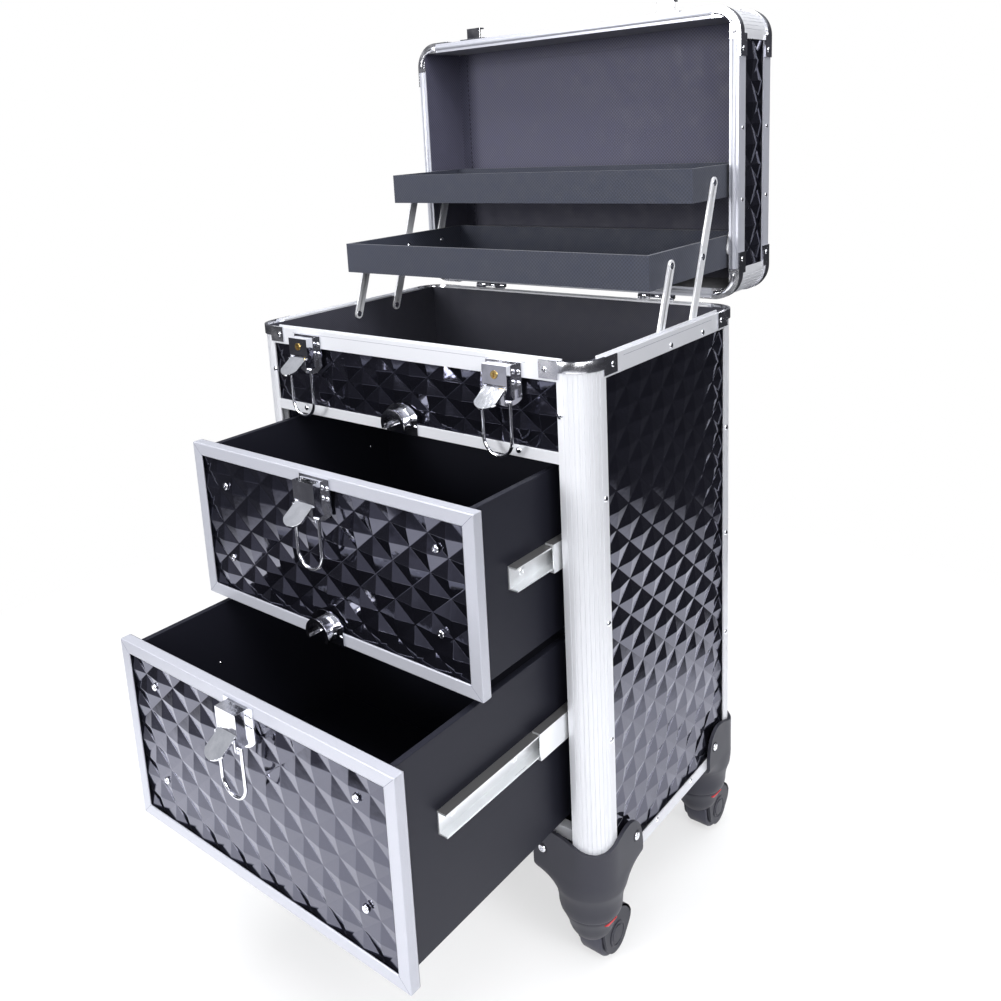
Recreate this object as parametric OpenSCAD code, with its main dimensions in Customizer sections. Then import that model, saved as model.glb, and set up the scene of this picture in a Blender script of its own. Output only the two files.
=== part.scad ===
// Rolling makeup case: an aluminium-framed trolley case with two drawers on slides, a top
// compartment with two cantilever trays, a hinged lid, four draw latches and four swivel casters.
// Millimetres. X runs across the case, Y from the front to the back, Z up from the floor.
// Inside the modules, Y is measured from the plane of the front posts; place() moves the whole
// case so that the origin lies on the floor under the middle of the opened case.

/* [Case] */
// Width over the posts
case_w = 348; // [300:1:420]
// Depth over the posts
case_d = 240; // [210:1:300]
// Height of the body's underside above the floor
body_z0 = 95; // [85:1:120]
// Height of the body, from its underside to the top of the rim
body_h = 415; // [380:1:480]

/* [Wall stack] */
// Thickness of the boards
board_t = 3; // [2.5:0.1:4]
// Thickness of the moulded skin at its valleys
skin_t = 0.6; // [0.4:0.1:1]
// Height of the diamonds over the valleys
relief = 2.2; // [1:0.1:3]
// Thickness of the aluminium flanges
flange_t = 1.2; // [1:0.1:1.6]
// Gap between a flange and the tips of the diamonds
skin_gap = 0.1; // [0.05:0.05:0.3]
// Gap between boards that stand against each other
board_gap = 0.05; // [0.02:0.01:0.2]
// Half of a diamond's width
diamond_a = 17.6; // [12:0.1:25]
// Half of a diamond's height
diamond_b = 15.2; // [10:0.1:22]
// How far a skin runs on under the flange around it
skin_lap = 1.8; // [0.5:0.1:1.9]

/* [Corner posts] */
// Outer radius of the post's curve
post_r = 22; // [18:0.5:26]
// Flat lip of the post on the front and the back
post_lip_front = 2; // [1.9:0.1:6]
// Flat lip of the post on the sides
post_lip_side = 4; // [1.9:0.1:6]
// Number of fine grooves along the post
post_grooves = 9; // [5:1:13]
// Radius of a groove
groove_r = 0.45; // [0.3:0.05:0.6]

/* [Rim and rails] */
// Height of the rim's outer flange
rim_h = 15; // [12:0.5:20]
// Height of the rim's inner lip
rim_lip_h = 5; // [3:0.5:5]
// Depth of the trough along the top of the rim
trough_h = 2.4; // [2.3:0.1:3]
// Thickness of the two walls beside the trough
trough_wall = 1.6; // [1.2:0.1:1.8]
// Height of the rail along the bottom
foot_rail_h = 10; // [8:0.5:14]
// Height of the rail under the front strip
divider_h = 9; // [7:0.5:12]
// Height of the rail over the apron
apron_rail_h = 10; // [8:0.5:12]
// How far the apron under the drawers stands back
apron_in = 5; // [3:0.5:8]

/* [Front layout] */
// Height of the front strip with its rim and divider rail
strip_h = 75; // [65:1:100]
// Height of the upper drawer's front
upper_h = 133.5; // [100:0.5:170]
// Height of the apron under the lower drawer
apron_h = 39; // [36:0.5:50]
// Gap above a drawer front
front_gap = 4.3; // [3:0.1:6]
// Gap between the lower drawer's front and the apron
apron_gap = 2.4; // [2:0.1:5]
// Gap between a drawer front and the post beside it
side_gap = 1; // [0.6:0.1:3]

/* [Drawers] */
// How far the drawers run out
drawer_travel = 182; // [120:1:190]
// How far the upper drawer is pulled out here
upper_open = 95.4; // [0:0.1:182]
// How far the lower drawer is pulled out here
lower_open = 182; // [0:0.1:182]
// Width of the frame's face around a drawer front
frame_w = 10.3; // [8:0.1:14]
// Depth of the frame's returns
frame_d = 9; // [8:0.1:14]
// Thickness of the drawer box's walls
box_wall = 5; // [4:0.5:8]
// Thickness of the drawer box's bottom
box_floor = 3; // [2.5:0.5:5]
// Gap between the drawer box's end and the back board
box_back_gap = 17.9; // [10:0.1:30]
// How far the box's bottom lies above the front's lower edge
box_up = 2.5; // [1:0.1:6]
// How far the box's rim lies below the front's upper edge
box_down = 3; // [1:0.1:6]

/* [Slides] */
// Space for a slide between the drawer box and the runner board
slide_t = 11.5; // [11:0.1:13]
// Height of the slide's fixed channel
slide_h = 26.8; // [26:0.1:30]
// Thickness of the channel's flanges
channel_flange = 2; // [1.6:0.1:2.4]
// Thickness of the middle member's flanges
middle_flange = 1.8; // [1.4:0.1:2.2]
// Thickness of the slide's webs
slide_web = 1.2; // [1:0.1:1.4]
// Gap between the members of a slide
slide_gap = 0.4; // [0.3:0.05:0.6]
// Length of the fixed channel
channel_len = 180; // [150:1:190]
// Length of the middle member
middle_len = 160; // [140:1:165]
// Length of the drawer's rail
rail_len = 165; // [140:1:166]
// Where the fixed channel starts behind the front plane
channel_y = 28; // [20:1:40]
// Where the drawer's rail starts behind the drawer's face
rail_y = 46; // [30:1:46]
// Where the upper middle member starts when its drawer is shut
upper_middle_y = 40; // [30:1:60]
// Where the lower middle member starts when its drawer is shut
lower_middle_y = 58; // [30:1:62]
// Height of the upper slides over the upper front's lower edge
upper_slide_up = 68.8; // [40:0.1:90]
// Height of the lower slides over the lower front's lower edge
lower_slide_up = 92.1; // [40:0.1:110]
// Thickness of the runner boards beside the drawers
runner_t = 4; // [3:0.5:8]

/* [Lid] */
// Depth of the lid
lid_h = 63; // [60:0.5:90]
// Gap between the rims of the body and the shut lid
lid_gap = 0.5; // [0.3:0.1:1]
// Distance of the hinge's axis behind the case and over the shut lid's rim plane
hinge_out = 2.25; // [2.1:0.05:3]
// Height of the rim rail on the lid's walls
lid_rail_h = 13; // [10:0.5:18]
// Height of the edge trim on the lid's walls
lid_trim_h = 13; // [10:0.5:18]
// Width of the edge trim on the lid's top
lid_trim_w = 7; // [6:0.5:12]
// Radius of the half-round bead on the lid's rim
bead_r = 1.9; // [1.2:0.1:2]
// Rows of diamonds on the lid's walls
lid_rows = 2; // [1:1:4]

/* [Hinges] */
// Distance of each hinge from the middle
hinge_x = 95; // [60:1:130]
// Width of a hinge
hinge_w = 36; // [24:1:60]
// Radius of the knuckles
knuckle_r = 2; // [1.8:0.05:2]
// Radius of the hinge pin
hinge_pin_r = 1; // [0.8:0.05:1.2]
// Thickness of a leaf
leaf_t = 1.2; // [1:0.1:1.2]
// Length of a leaf on the wall
leaf_h = 16; // [12:1:30]
// Radial clearance of pins in their bores
pin_clear = 0.08; // [0.03:0.01:0.1]

/* [Corner caps] */
// Thickness of a cap
cap_t = 1.2; // [0.8:0.1:1.6]
// Height of the cap's band around the corner
cap_band_h = 8; // [6:0.5:12]
// Length of the cap's wings along the rails
cap_wing = 14; // [10:0.5:20]
// Height of the cap's wings
cap_wing_h = 13; // [10:0.5:15]

/* [Trays and arms] */
// Distance between an arm's pivots
arm_l = 62; // [55:0.5:70]
// How far the arms lean back when the trays are out, in degrees
arm_lean = 20; // [10:0.5:25]
// How far the arms swing forward as the lid shuts
arm_swing = 85; // [80:0.5:88]
// Width of an arm
arm_w = 9.5; // [7:0.5:12]
// Thickness of an arm
arm_t = 1.8; // [1.2:0.1:2]
// Gap beside an arm
arm_gap = 0.4; // [0.3:0.05:0.8]
// Radius of a pivot pin
pivot_r = 2; // [1.5:0.1:2.5]
// Radius of the bush behind an arm on the wall
bush_r = 3.5; // [3:0.1:3.6]
// Depth of the wall pivots under the rim's top
pivot_down = 11; // [10:0.5:16]
// Distance of the main arms' wall pivots from the case's back
main_arm_back = 68; // [60:0.5:76]
// Distance of the front arms before the main arms
front_arm_off = 53.5; // [40:0.5:70]
// Distance of the rear arms behind the main arms
rear_arm_off = 50.8; // [40:0.5:70]
// Height of a tray
tray_h = 27.3; // [22:0.1:30]
// Thickness of a tray's walls and floor
tray_wall = 3; // [2:0.1:5]
// How far the lower tray reaches behind its main pivot
lower_tray_behind = 84.8; // [70:0.1:90]
// How far the upper tray reaches behind its main pivot
upper_tray_behind = 64.6; // [56:0.1:66]
// Distance of the folded lower tray from the front plane
lower_tray_inset = 30.6; // [20:0.1:40]
// Distance of the folded upper tray from the front plane
upper_tray_inset = 24.2; // [12:0.1:40]
// Height of the pivots over the lower tray's underside
lower_pivot_up = 15.5; // [10:0.1:18]
// Height of the pivots over the upper tray's underside
upper_pivot_up = 14; // [10:0.1:18]

/* [Latches] */
// Distance of the lid latches from the middle
latch_x = 105; // [70:1:130]
// Width of the latch plate
latch_w = 32; // [30:0.5:40]
// Height of the latch plate
latch_h = 34; // [32:0.5:40]
// Thickness of the latch plate and its cheeks
latch_t = 1.2; // [1:0.1:1.5]
// Outer width of the latch's housing
housing_w = 22.4; // [20:0.1:24]
// How far the housing stands out
housing_p = 12; // [11:0.5:16]
// Height of the housing's front
housing_h = 14.5; // [12:0.5:15]
// Distance of the latch plate's top under the edge it sits on
latch_down = 2; // [1:0.1:5]
// How far the lever's pin stands out
lever_p = 9.5; // [9:0.1:10]
// Depth of the lever's pin under the plate's top
lever_z = 18; // [18:0.1:19]
// Radius of the lever's pin
lever_pin_r = 1.2; // [1:0.1:1.3]
// Radius of the lever's barrel
lever_barrel_r = 2.1; // [1.9:0.05:2.2]
// Gap beside the lever in its housing
lever_gap = 0.4; // [0.3:0.1:0.8]
// Length of the lever from its pin
lever_len = 22; // [16:0.5:26]
// Thickness of the lever
lever_t = 1.6; // [1.2:0.1:2]
// How far the lever leans out here, from hanging straight down, in degrees
lever_lean = 56; // [0:1:80]
// How far the loop's pivot stands out
loop_p = 11; // [10.5:0.1:12]
// Depth of the loop's pivot under the plate's top
loop_z = 27; // [26:0.1:28]
// Radius of the loop's wire
wire_r = 1.3; // [1:0.05:1.4]
// Gap between the loop and the housing's cheeks
loop_gap = 0.4; // [0.3:0.1:0.8]
// Length of the loop from its pivot
loop_len = 43; // [38:0.5:48]
// Radius of the lock's plug
plug_r = 3; // [2.5:0.1:4]
// Depth of the lock's plug under the plate's top
plug_z = 8; // [7:0.1:9]

/* [Catches] */
// Width of a drawer catch's plate
catch_w = 34; // [32:0.5:40]
// Height of a drawer catch's plate
catch_h = 25; // [22:0.5:30]
// Outer radius of the catch's hood
hood_r = 11; // [9:0.1:11]
// Thickness of the catch's hood
hood_t = 1.8; // [1.2:0.1:2.4]
// How far the hood stands out
hood_p = 12; // [8:0.5:14]
// Height of the hood's front lip
hood_lip = 1.4; // [1:0.1:2]
// Width of a lid catch's plate
lid_catch_w = 28; // [24:0.5:34]
// Width of a lid catch's hook
lid_hook_w = 16; // [12:0.5:20]
// How far a lid catch's hook stands out
lid_hook_p = 11; // [8:0.5:13]

/* [Casters] */
// Distance of the swivel stems inside the case's sides
stem_in = 26; // [24:0.5:30]
// Radius of a wheel
wheel_r = 20; // [17:0.5:22]
// Width of a wheel
wheel_w = 21; // [16:0.5:24]
// How far a wheel trails its stem
trail = 16; // [12:0.5:18]
// Radius of the axle
axle_r = 3; // [2.5:0.1:4]
// Radius of the swivel stem
stem_r = 5; // [4:0.1:6]
// Gap around the wheel in its fork
wheel_gap = 1.3; // [0.8:0.1:2]
// Thickness of the fork's cheeks
cheek_t = 2.6; // [2:0.1:4]
// Thickness of the fork's hood over the wheel
crown_t = 2; // [1.5:0.1:3]
// Gap between the fork and its bracket
swivel_gap = 0.3; // [0.2:0.05:0.6]
// Height of the bracket's underside above the floor
bracket_z = 45; // [44.8:0.1:50]
// Radius of the bracket's cup around the stem
cup_r = 17; // [14:0.5:19]
// Thickness of the bracket's walls
bracket_t = 3; // [2:0.1:4]
// Gap between the bracket and the posts
bracket_gap = 0.2; // [0.1:0.05:0.4]
// Reach of the bracket's wings along the front and the back
wing_x = 59; // [50:1:70]
// Reach of the bracket's wings along the sides
wing_y = 60; // [50:1:70]
// Height of the bracket's top above the body's underside
socket_h = 35; // [30:1:45]
// Radius of the sweep under a wing
sweep_r = 33; // [26:1:36]
// Radius of the scoop in the bracket's top at the corner
scoop_r = 26; // [20:1:40]
// Height of the flare over a bracket's cup
flare_h = 25; // [20:0.5:30]
// How far the flare widens
flare_r = 11.4; // [8:0.1:12]

/* [Hidden] */
$fn = 48;
half_w = case_w / 2;
z_top = body_z0 + body_h;
// The wall stack, measured inward from the plane of the posts
d_tip = flange_t + skin_gap;
d_skin = d_tip + relief + skin_t;
d_in = d_skin + board_t;
d_lip = d_in + flange_t;
post_in = post_r - flange_t;
// Where the posts' lips end on the front and on the sides
post_x = post_r + post_lip_front;
post_y = post_r + post_lip_side;
open_w = half_w - post_x;
// Where a board must stop so that its outer corner stays inside the post's curve
board_end = post_r - sqrt(pow(post_in - 0.3, 2) - pow(post_r - d_skin, 2));
web_z = z_top - trough_h - flange_t;
// Heights of the front's parts
divider_z = z_top - strip_h;
upper_z1 = divider_z - front_gap;
upper_z0 = upper_z1 - upper_h;
lower_z1 = upper_z0 - front_gap;
apron_z = body_z0 + apron_h;
lower_z0 = apron_z + apron_gap;
floor_z = divider_z + flange_t;
base_z = body_z0 + flange_t;
base_t = 8;
front_half = open_w - side_gap;
front_back = frame_d;
box_half = open_w - slide_t;
box_end = case_d - d_in - box_back_gap;
upper_slide_z = upper_z0 + upper_slide_up;
lower_slide_z = lower_z0 + lower_slide_up;
// The lid, drawn shut and then turned open about the hinge's axis
lid_z = z_top + lid_gap;
hinge_y = case_d + hinge_out;
hinge_z = lid_z + hinge_out;
lid_in_top = lid_h - d_in;
lid_edge = lid_trim_w + skin_lap - 0.3;
// The trays' pivots with the trays out
pivot_z = z_top - pivot_down;
main_arm_y = case_d - main_arm_back;
step_y = arm_l * sin(arm_lean);
step_z = arm_l * cos(arm_lean);
arm_x0 = half_w - d_lip - arm_gap - arm_t;
tray_half = arm_x0 - arm_gap;
// The trays' lengths, from where they lie with the lid shut
fold_y = arm_l * sin(arm_swing - arm_lean);
lower_tray_front = main_arm_y - fold_y - lower_tray_inset;
upper_tray_front = main_arm_y - 2 * fold_y - upper_tray_inset;
lower_tray_d = lower_tray_front + lower_tray_behind;
upper_tray_d = upper_tray_front + upper_tray_behind;
// The casters
stem_x = half_w - stem_in;
fork_top = bracket_z - swivel_gap;
fork_half = wheel_w / 2 + wheel_gap - 0.5 + cheek_t;
// The front's reach and the lid's, for the origin under the middle of the opened case
reach_front = lower_open + lever_p + lever_len * sin(lever_lean) + 1;
reach_back = case_d + lid_h + cap_t;
origin_y = (reach_back - reach_front) / 2;

// Placing

module place() {
    translate([0, -origin_y, 0]) children();
}

// What is drawn on the right side, on both sides
module both_sides() {
    children();
    mirror([1, 0, 0]) children();
}

// What is drawn at the front, at the front and at the back
module both_ends() {
    children();
    translate([0, case_d, 0]) mirror([0, 1, 0]) children();
}

// The lid's parts, drawn shut with Z from the lid's rim plane, turned open
module lid_place() {
    place()
        translate([0, hinge_y, hinge_z])
        rotate([-90, 0, 0])
        translate([0, -hinge_y, lid_z - hinge_z])
        children();
}

module upper_place() {
    place() translate([0, -upper_open, 0]) children();
}

module lower_place() {
    place() translate([0, -lower_open, 0]) children();
}

// A box from one corner to the opposite one
module block(a, b) {
    translate(a) cube(b - a);
}

// A plate with a profile in Y and Z, between two X
module profile_x(x0, x1) {
    translate([x0, 0, 0])
        rotate([90, 0, 90])
        linear_extrude(x1 - x0)
        children();
}

// A plate with a profile in X and Z that goes from Y y0 to y1
module profile_y(y0, y1) {
    translate([0, y1, 0])
        rotate([90, 0, 0])
        linear_extrude(y1 - y0)
        children();
}

// The post's section: its outer corner at the origin, the case toward +u and +v
module post_section() {
    difference() {
        union() {
            intersection() {
                translate([post_r, post_r]) difference() {
                    circle(post_r, $fn = 96);
                    circle(post_in, $fn = 96);
                }
                translate([-1, -1]) square(post_r + 1);
            }
            translate([post_r, 0]) square([post_lip_front, flange_t]);
            translate([0, post_r]) square([flange_t, post_lip_side]);
            intersection() {
                union() {
                    translate([d_in, d_in]) square([flange_t, post_y - d_in]);
                    translate([d_in, d_in]) square([post_x - d_in, flange_t]);
                }
                union() {
                    translate([post_r, post_r]) circle(post_r - 0.2, $fn = 96);
                    translate([0, post_r]) square(post_r);
                    translate([post_r, 0]) square(post_r);
                }
            }
        }
        for (k = [1 : post_grooves])
            translate([post_r, post_r])
                rotate(180 + 90 * k / (post_grooves + 1))
                translate([post_r, 0])
                circle(groove_r, $fn = 24);
    }
}

// A post at the front right corner, between two heights
module post(z0, z1) {
    translate([half_w, 0, z0])
        mirror([1, 0, 0])
        linear_extrude(z1 - z0)
        post_section();
}

// A skin of diamond pyramids, its tips on the plane Y = 0 and facing -Y, nx by nz half diamonds
module diamond_skin(w, h, nx, nz, par = 0) {
    back = relief + skin_t;
    front_pts = [
        for (j = [0 : nz])
        for (i = [0 : nx])
        [i * w / nx, (i + j + par) % 2 == 0 ? 0 : relief, j * h / nz]
    ];
    edge = concat(
        [for (i = [0 : nx - 1]) [i, 0]],
        [for (j = [0 : nz - 1]) [nx, j]],
        [for (i = [nx : -1 : 1]) [i, nz]],
        [for (j = [nz : -1 : 1]) [0, j]]
    );
    ne = len(edge);
    base = len(front_pts);
    back_pts = [for (e = edge) [e[0] * w / nx, back, e[1] * h / nz]];
    cells = [
        for (j = [0 : nz - 1])
        for (i = [0 : nx - 1])
        let (
            a = j * (nx + 1) + i,
            b = a + 1,
            c = a + nx + 2,
            d = a + nx + 1,
            up = (i + j + par) % 2 == 0
        )
        each (up ? [[a, d, b], [b, d, c]] : [[a, d, c], [a, c, b]])
    ];
    walls = [
        for (k = [0 : ne - 1])
        let (
            e = edge[k],
            f = edge[(k + 1) % ne]
        )
        [
            e[1] * (nx + 1) + e[0],
            f[1] * (nx + 1) + f[0],
            base + (k + 1) % ne,
            base + k
        ]
    ];
    middle = [w / 2, back, h / 2];
    rear = [for (k = [0 : ne - 1]) [base + ne, base + k, base + (k + 1) % ne]];
    polyhedron(
        concat(front_pts, back_pts, [middle]),
        concat(cells, walls, rear),
        convexity = 4
    );
}

// A skin that covers a window from x0 to x1 and z0 to z1, with a lap under the frame around it
module skin_window(x0, x1, z0, z1, rows = 0, par = 0) {
    w = x1 - x0 + 2 * skin_lap;
    h = z1 - z0 + 2 * skin_lap;
    nx = round(w / diamond_a);
    nz = rows > 0 ? rows : round(h / diamond_b);
    translate([x0 - skin_lap, 0, z0 - skin_lap])
        diamond_skin(w, h, nx, nz, par);
}

// A skin window drawn for the right wall: the first axis runs back along the side
module side_skin_window(y0, y1, z0, z1, rows = 0, par = 0) {
    translate([half_w - d_tip, 0, 0])
        rotate([0, 0, 90])
        skin_window(y0, y1, z0, z1, rows, par);
}

// The body's walls

module corner_posts() {
    color("silver")
    place()
    both_sides()
    both_ends()
        post(base_z, web_z);
}

module side_boards() {
    color([0.1, 0.1, 0.11])
    place()
    both_sides()
    union() {
        block(
            [half_w - d_in, board_end, base_z],
            [half_w - d_skin, case_d - board_end, web_z]
        );
        for (y = [main_arm_y, main_arm_y - front_arm_off])
            translate([half_w - d_in + 0.5, y, pivot_z])
                rotate([0, -90, 0]) {
                    cylinder(r = bush_r, h = 0.5 + flange_t + arm_gap / 2);
                    cylinder(r = pivot_r, h = 0.5 + flange_t + arm_gap + arm_t);
                }
    }
}

module back_board() {
    color([0.1, 0.1, 0.11])
    place()
        block(
            [-half_w + board_end, case_d - d_in, base_z],
            [half_w - board_end, case_d - d_skin, web_z]
        );
}

module front_boards() {
    color([0.1, 0.1, 0.11])
    place() {
        block(
            [-half_w + board_end, d_skin, floor_z],
            [half_w - board_end, d_in, web_z]
        );
        block(
            [-open_w + 0.3, apron_in + d_skin, base_z],
            [open_w - 0.3, apron_in + d_in, apron_z - flange_t]
        );
    }
}

module base_board() {
    color([0.12, 0.12, 0.13])
    place()
        block(
            [-half_w + d_lip + 0.1, apron_in + d_in + board_gap, base_z],
            [half_w - d_lip - 0.1, case_d - d_lip - 0.1, base_z + base_t]
        );
}

module compartment_floor() {
    color([0.1, 0.1, 0.11])
    place()
        block(
            [-half_w + d_lip + 0.1, d_lip + 0.1, floor_z],
            [half_w - d_lip - 0.1, case_d - d_lip - 0.1, floor_z + board_t]
        );
}

module runner_boards() {
    color([0.1, 0.1, 0.11])
    place()
    both_sides()
        block(
            [open_w, apron_in + d_in + board_gap, base_z + base_t],
            [open_w + runner_t, case_d - d_lip - 0.1, floor_z]
        );
}

module body_skins() {
    color([0.05, 0.05, 0.06])
    place() {
        both_sides()
            side_skin_window(
                post_y, case_d - post_y, body_z0 + foot_rail_h, z_top - rim_h
            );
        translate([0, case_d - d_tip, 0])
            mirror([0, 1, 0])
            skin_window(-open_w, open_w, body_z0 + foot_rail_h, z_top - rim_h);
        translate([0, d_tip, 0])
            skin_window(-open_w, open_w, divider_z + divider_h, z_top - rim_h);
        translate([0, apron_in + d_tip, 0])
            skin_window(
                -open_w + skin_lap + 0.3, open_w - skin_lap - 0.3,
                body_z0 + foot_rail_h, apron_z - apron_rail_h
            );
    }
}

// The rails' sections: u runs inward from the posts' plane, v up

module rim_section() {
    translate([0, z_top - rim_h]) square([flange_t, rim_h]);
    translate([0, web_z]) square([d_lip, flange_t]);
    translate([0, web_z]) square([trough_wall, z_top - web_z]);
    translate([d_lip - trough_wall, web_z]) square([trough_wall, z_top - web_z]);
    translate([d_in, z_top - trough_h - rim_lip_h]) square([flange_t, rim_lip_h]);
}

module foot_section() {
    translate([0, body_z0]) square([flange_t, foot_rail_h]);
    translate([0, body_z0]) square([d_lip, flange_t]);
}

module divider_section() {
    translate([0, divider_z]) square([flange_t, divider_h]);
    translate([0, divider_z]) square([d_lip, flange_t]);
    translate([d_in, divider_z]) square([flange_t, flange_t + board_t]);
}

module apron_section() {
    translate([0, apron_z - apron_rail_h]) square([flange_t, apron_rail_h]);
    translate([0, apron_z - flange_t]) square([d_lip, flange_t]);
}

// A rail along the front, its section's u toward +Y
module front_rail(half) {
    profile_x(-half, half) children();
}

// A rail along the right side, its section's u toward -X
module side_rail(y0, y1) {
    translate([half_w, y0, 0])
        mirror([1, 0, 0])
        translate([0, y1 - y0, 0])
        rotate([90, 0, 0])
        linear_extrude(y1 - y0)
        children();
}

module top_rim_rails() {
    color("silver")
    place() {
        both_ends() front_rail(open_w - board_gap) rim_section();
        both_sides() side_rail(post_y + board_gap, case_d - post_y - board_gap) rim_section();
    }
}

module lower_rails() {
    color("silver")
    place() {
        translate([0, case_d, 0])
            mirror([0, 1, 0])
            front_rail(open_w - board_gap)
            foot_section();
        both_sides()
            side_rail(post_y + board_gap, case_d - post_y - board_gap)
            foot_section();
        translate([0, apron_in, 0]) front_rail(open_w - board_gap) foot_section();
        translate([0, apron_in, 0]) front_rail(open_w - board_gap) apron_section();
        front_rail(open_w - board_gap) divider_section();
    }
}

// A quarter of a ring around the front right corner's centre
module corner_ring(r0, r1, z0, z1) {
    translate([half_w - post_r, post_r, z0])
        rotate([0, 0, -90])
        rotate_extrude(angle = 90, $fn = 96)
        translate([r0, 0])
        square([r1 - r0, z1 - z0]);
}

// A chrome cap on a rim's corner: a band, two wings over the rails and a plate over the post
module rim_cap(z_edge, z_plate, down) {
    s = down ? -1 : 1;
    lo = min(z_edge, z_edge + s * cap_band_h);
    corner_ring(post_r + 0.02, post_r + cap_t, lo, lo + cap_band_h);
    wing_lo = min(z_edge, z_edge + s * cap_wing_h);
    block(
        [half_w - post_x - cap_wing, -cap_t, wing_lo],
        [half_w - post_r, -0.02, wing_lo + cap_wing_h]
    );
    block(
        [half_w + 0.02, post_r, wing_lo],
        [half_w + cap_t, post_y + cap_wing, wing_lo + cap_wing_h]
    );
    plate_lo = min(z_plate, z_plate + s * flange_t);
    difference() {
        translate([half_w - post_x, 0, plate_lo])
            intersection() {
                cube([post_x + cap_t, post_y, flange_t]);
                union() {
                    translate([post_x - post_r, post_r, 0])
                        cylinder(r = post_r + cap_t, h = flange_t, $fn = 96);
                    translate([0, post_r, 0])
                        cube([post_x, post_lip_side, flange_t]);
                    cube([post_lip_front, post_r, flange_t]);
                }
            }
        block(
            [half_w - post_x - 1, d_lip, plate_lo - 1],
            [half_w - d_lip, post_y + 1, plate_lo + flange_t + 1]
        );
    }
}

module rim_corner_caps() {
    color([0.8, 0.8, 0.82])
    place()
    both_sides()
    both_ends()
    union() {
        rim_cap(z_top, z_top - trough_h, true);
        corner_ring(post_r - trough_wall, post_r + cap_t / 2, z_top - trough_h, z_top);
        block(
            [half_w - post_x, 0.01, z_top - trough_h],
            [half_w - post_r, trough_wall, z_top]
        );
        block(
            [half_w - trough_wall, post_r, z_top - trough_h],
            [half_w - 0.01, post_y, z_top]
        );
    }
}

// Slides, drawn for the right side: a channel open toward the drawer

module channel_section(half_h, flange, x_open, x_web0, x_web1) {
    translate([x_web0, -half_h]) square([x_web1 - x_web0, 2 * half_h]);
    for (s = [0, 1])
        mirror([0, s])
            translate([x_open, half_h - flange])
            square([x_web1 - x_open, flange]);
}

slide_half = slide_h / 2;
middle_half = slide_half - channel_flange - slide_gap;
rail_half = middle_half - middle_flange - slide_gap;
middle_web1 = open_w - slide_web - 0.8;
middle_web0 = middle_web1 - slide_web;
channel_open = open_w - slide_t + 3.4;
middle_open = open_w - slide_t + 2.2;

module fixed_channel(z) {
    translate([0, channel_y, z])
        rotate([90, 0, 0])
        mirror([0, 0, 1])
        linear_extrude(channel_len)
        channel_section(slide_half, channel_flange, channel_open, open_w - slide_web, open_w);
}

module middle_channel(y, z) {
    translate([0, y, z])
        rotate([90, 0, 0])
        mirror([0, 0, 1])
        linear_extrude(middle_len)
        channel_section(middle_half, middle_flange, middle_open, middle_web0, middle_web1);
}

// The drawer's rail: its web on the box, its lips inside the middle member
module drawer_rail(z) {
    translate([0, rail_y, z])
        rotate([90, 0, 0])
        mirror([0, 0, 1])
        linear_extrude(rail_len) {
            translate([box_half, -rail_half]) square([slide_web, 2 * rail_half]);
            for (s = [0, 1])
                mirror([0, s])
                    translate([box_half, rail_half - slide_web])
                    square([middle_web0 - slide_gap - box_half, slide_web]);
        }
}

module slide_channels() {
    color([0.75, 0.76, 0.78])
    place()
    both_sides() {
        fixed_channel(upper_slide_z);
        fixed_channel(lower_slide_z);
    }
}

module upper_slide_middles() {
    color([0.75, 0.76, 0.78])
    place()
    both_sides()
        middle_channel(upper_middle_y - upper_open / 2, upper_slide_z);
}

module lower_slide_middles() {
    color([0.75, 0.76, 0.78])
    place()
    both_sides()
        middle_channel(lower_middle_y - lower_open / 2, lower_slide_z);
}

// Drawers, drawn shut

module drawer_box(z0, z1) {
    bottom = z0 + box_up;
    top = z1 - box_down;
    // The front's board inside the frame
    block(
        [-front_half + flange_t + board_gap, d_skin, z0 + flange_t + board_gap],
        [front_half - flange_t - board_gap, front_back, z1 - flange_t - board_gap]
    );
    both_sides()
        block(
            [box_half - box_wall, front_back + board_gap, bottom],
            [box_half, box_end, top]
        );
    block(
        [-box_half + box_wall + board_gap, box_end - box_wall, bottom],
        [box_half - box_wall - board_gap, box_end, top]
    );
    block(
        [-box_half + box_wall + board_gap, front_back + board_gap, bottom],
        [box_half - box_wall - board_gap, box_end - box_wall - board_gap, bottom + box_floor]
    );
}

module drawer_skin(z0, z1, par = 0) {
    translate([0, d_tip, 0])
        skin_window(
            -front_half + frame_w, front_half - frame_w,
            z0 + frame_w, z1 - frame_w, 0, par
        );
}

// One mitred side of a drawer's frame along X: a face and a return
module frame_side(half, z_out, dir) {
    z_mid = z_out + dir * frame_w;
    profile_y(0, flange_t)
        polygon([
            [-half, z_out],
            [half, z_out],
            [half - frame_w, z_mid],
            [-half + frame_w, z_mid]
        ]);
    block(
        [-half, 0, min(z_out, z_out + dir * flange_t)],
        [half, frame_d, max(z_out, z_out + dir * flange_t)]
    );
}

module frame_stile(half, z0, z1) {
    profile_y(0, flange_t)
        polygon([
            [half, z0],
            [half, z1],
            [half - frame_w, z1 - frame_w],
            [half - frame_w, z0 + frame_w]
        ]);
    block([half - flange_t, 0, z0], [half, frame_d, z1]);
}

module drawer_frame(z0, z1) {
    union() {
        frame_side(front_half, z0, 1);
        frame_side(front_half, z1, -1);
        both_sides() frame_stile(front_half, z0, z1);
    }
}

module upper_drawer_box() {
    color([0.13, 0.13, 0.14])
    upper_place() drawer_box(upper_z0, upper_z1);
}

module upper_drawer_skin() {
    color([0.05, 0.05, 0.06])
    upper_place() drawer_skin(upper_z0, upper_z1);
}

module upper_drawer_frame() {
    color("silver")
    upper_place() drawer_frame(upper_z0, upper_z1);
}

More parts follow.
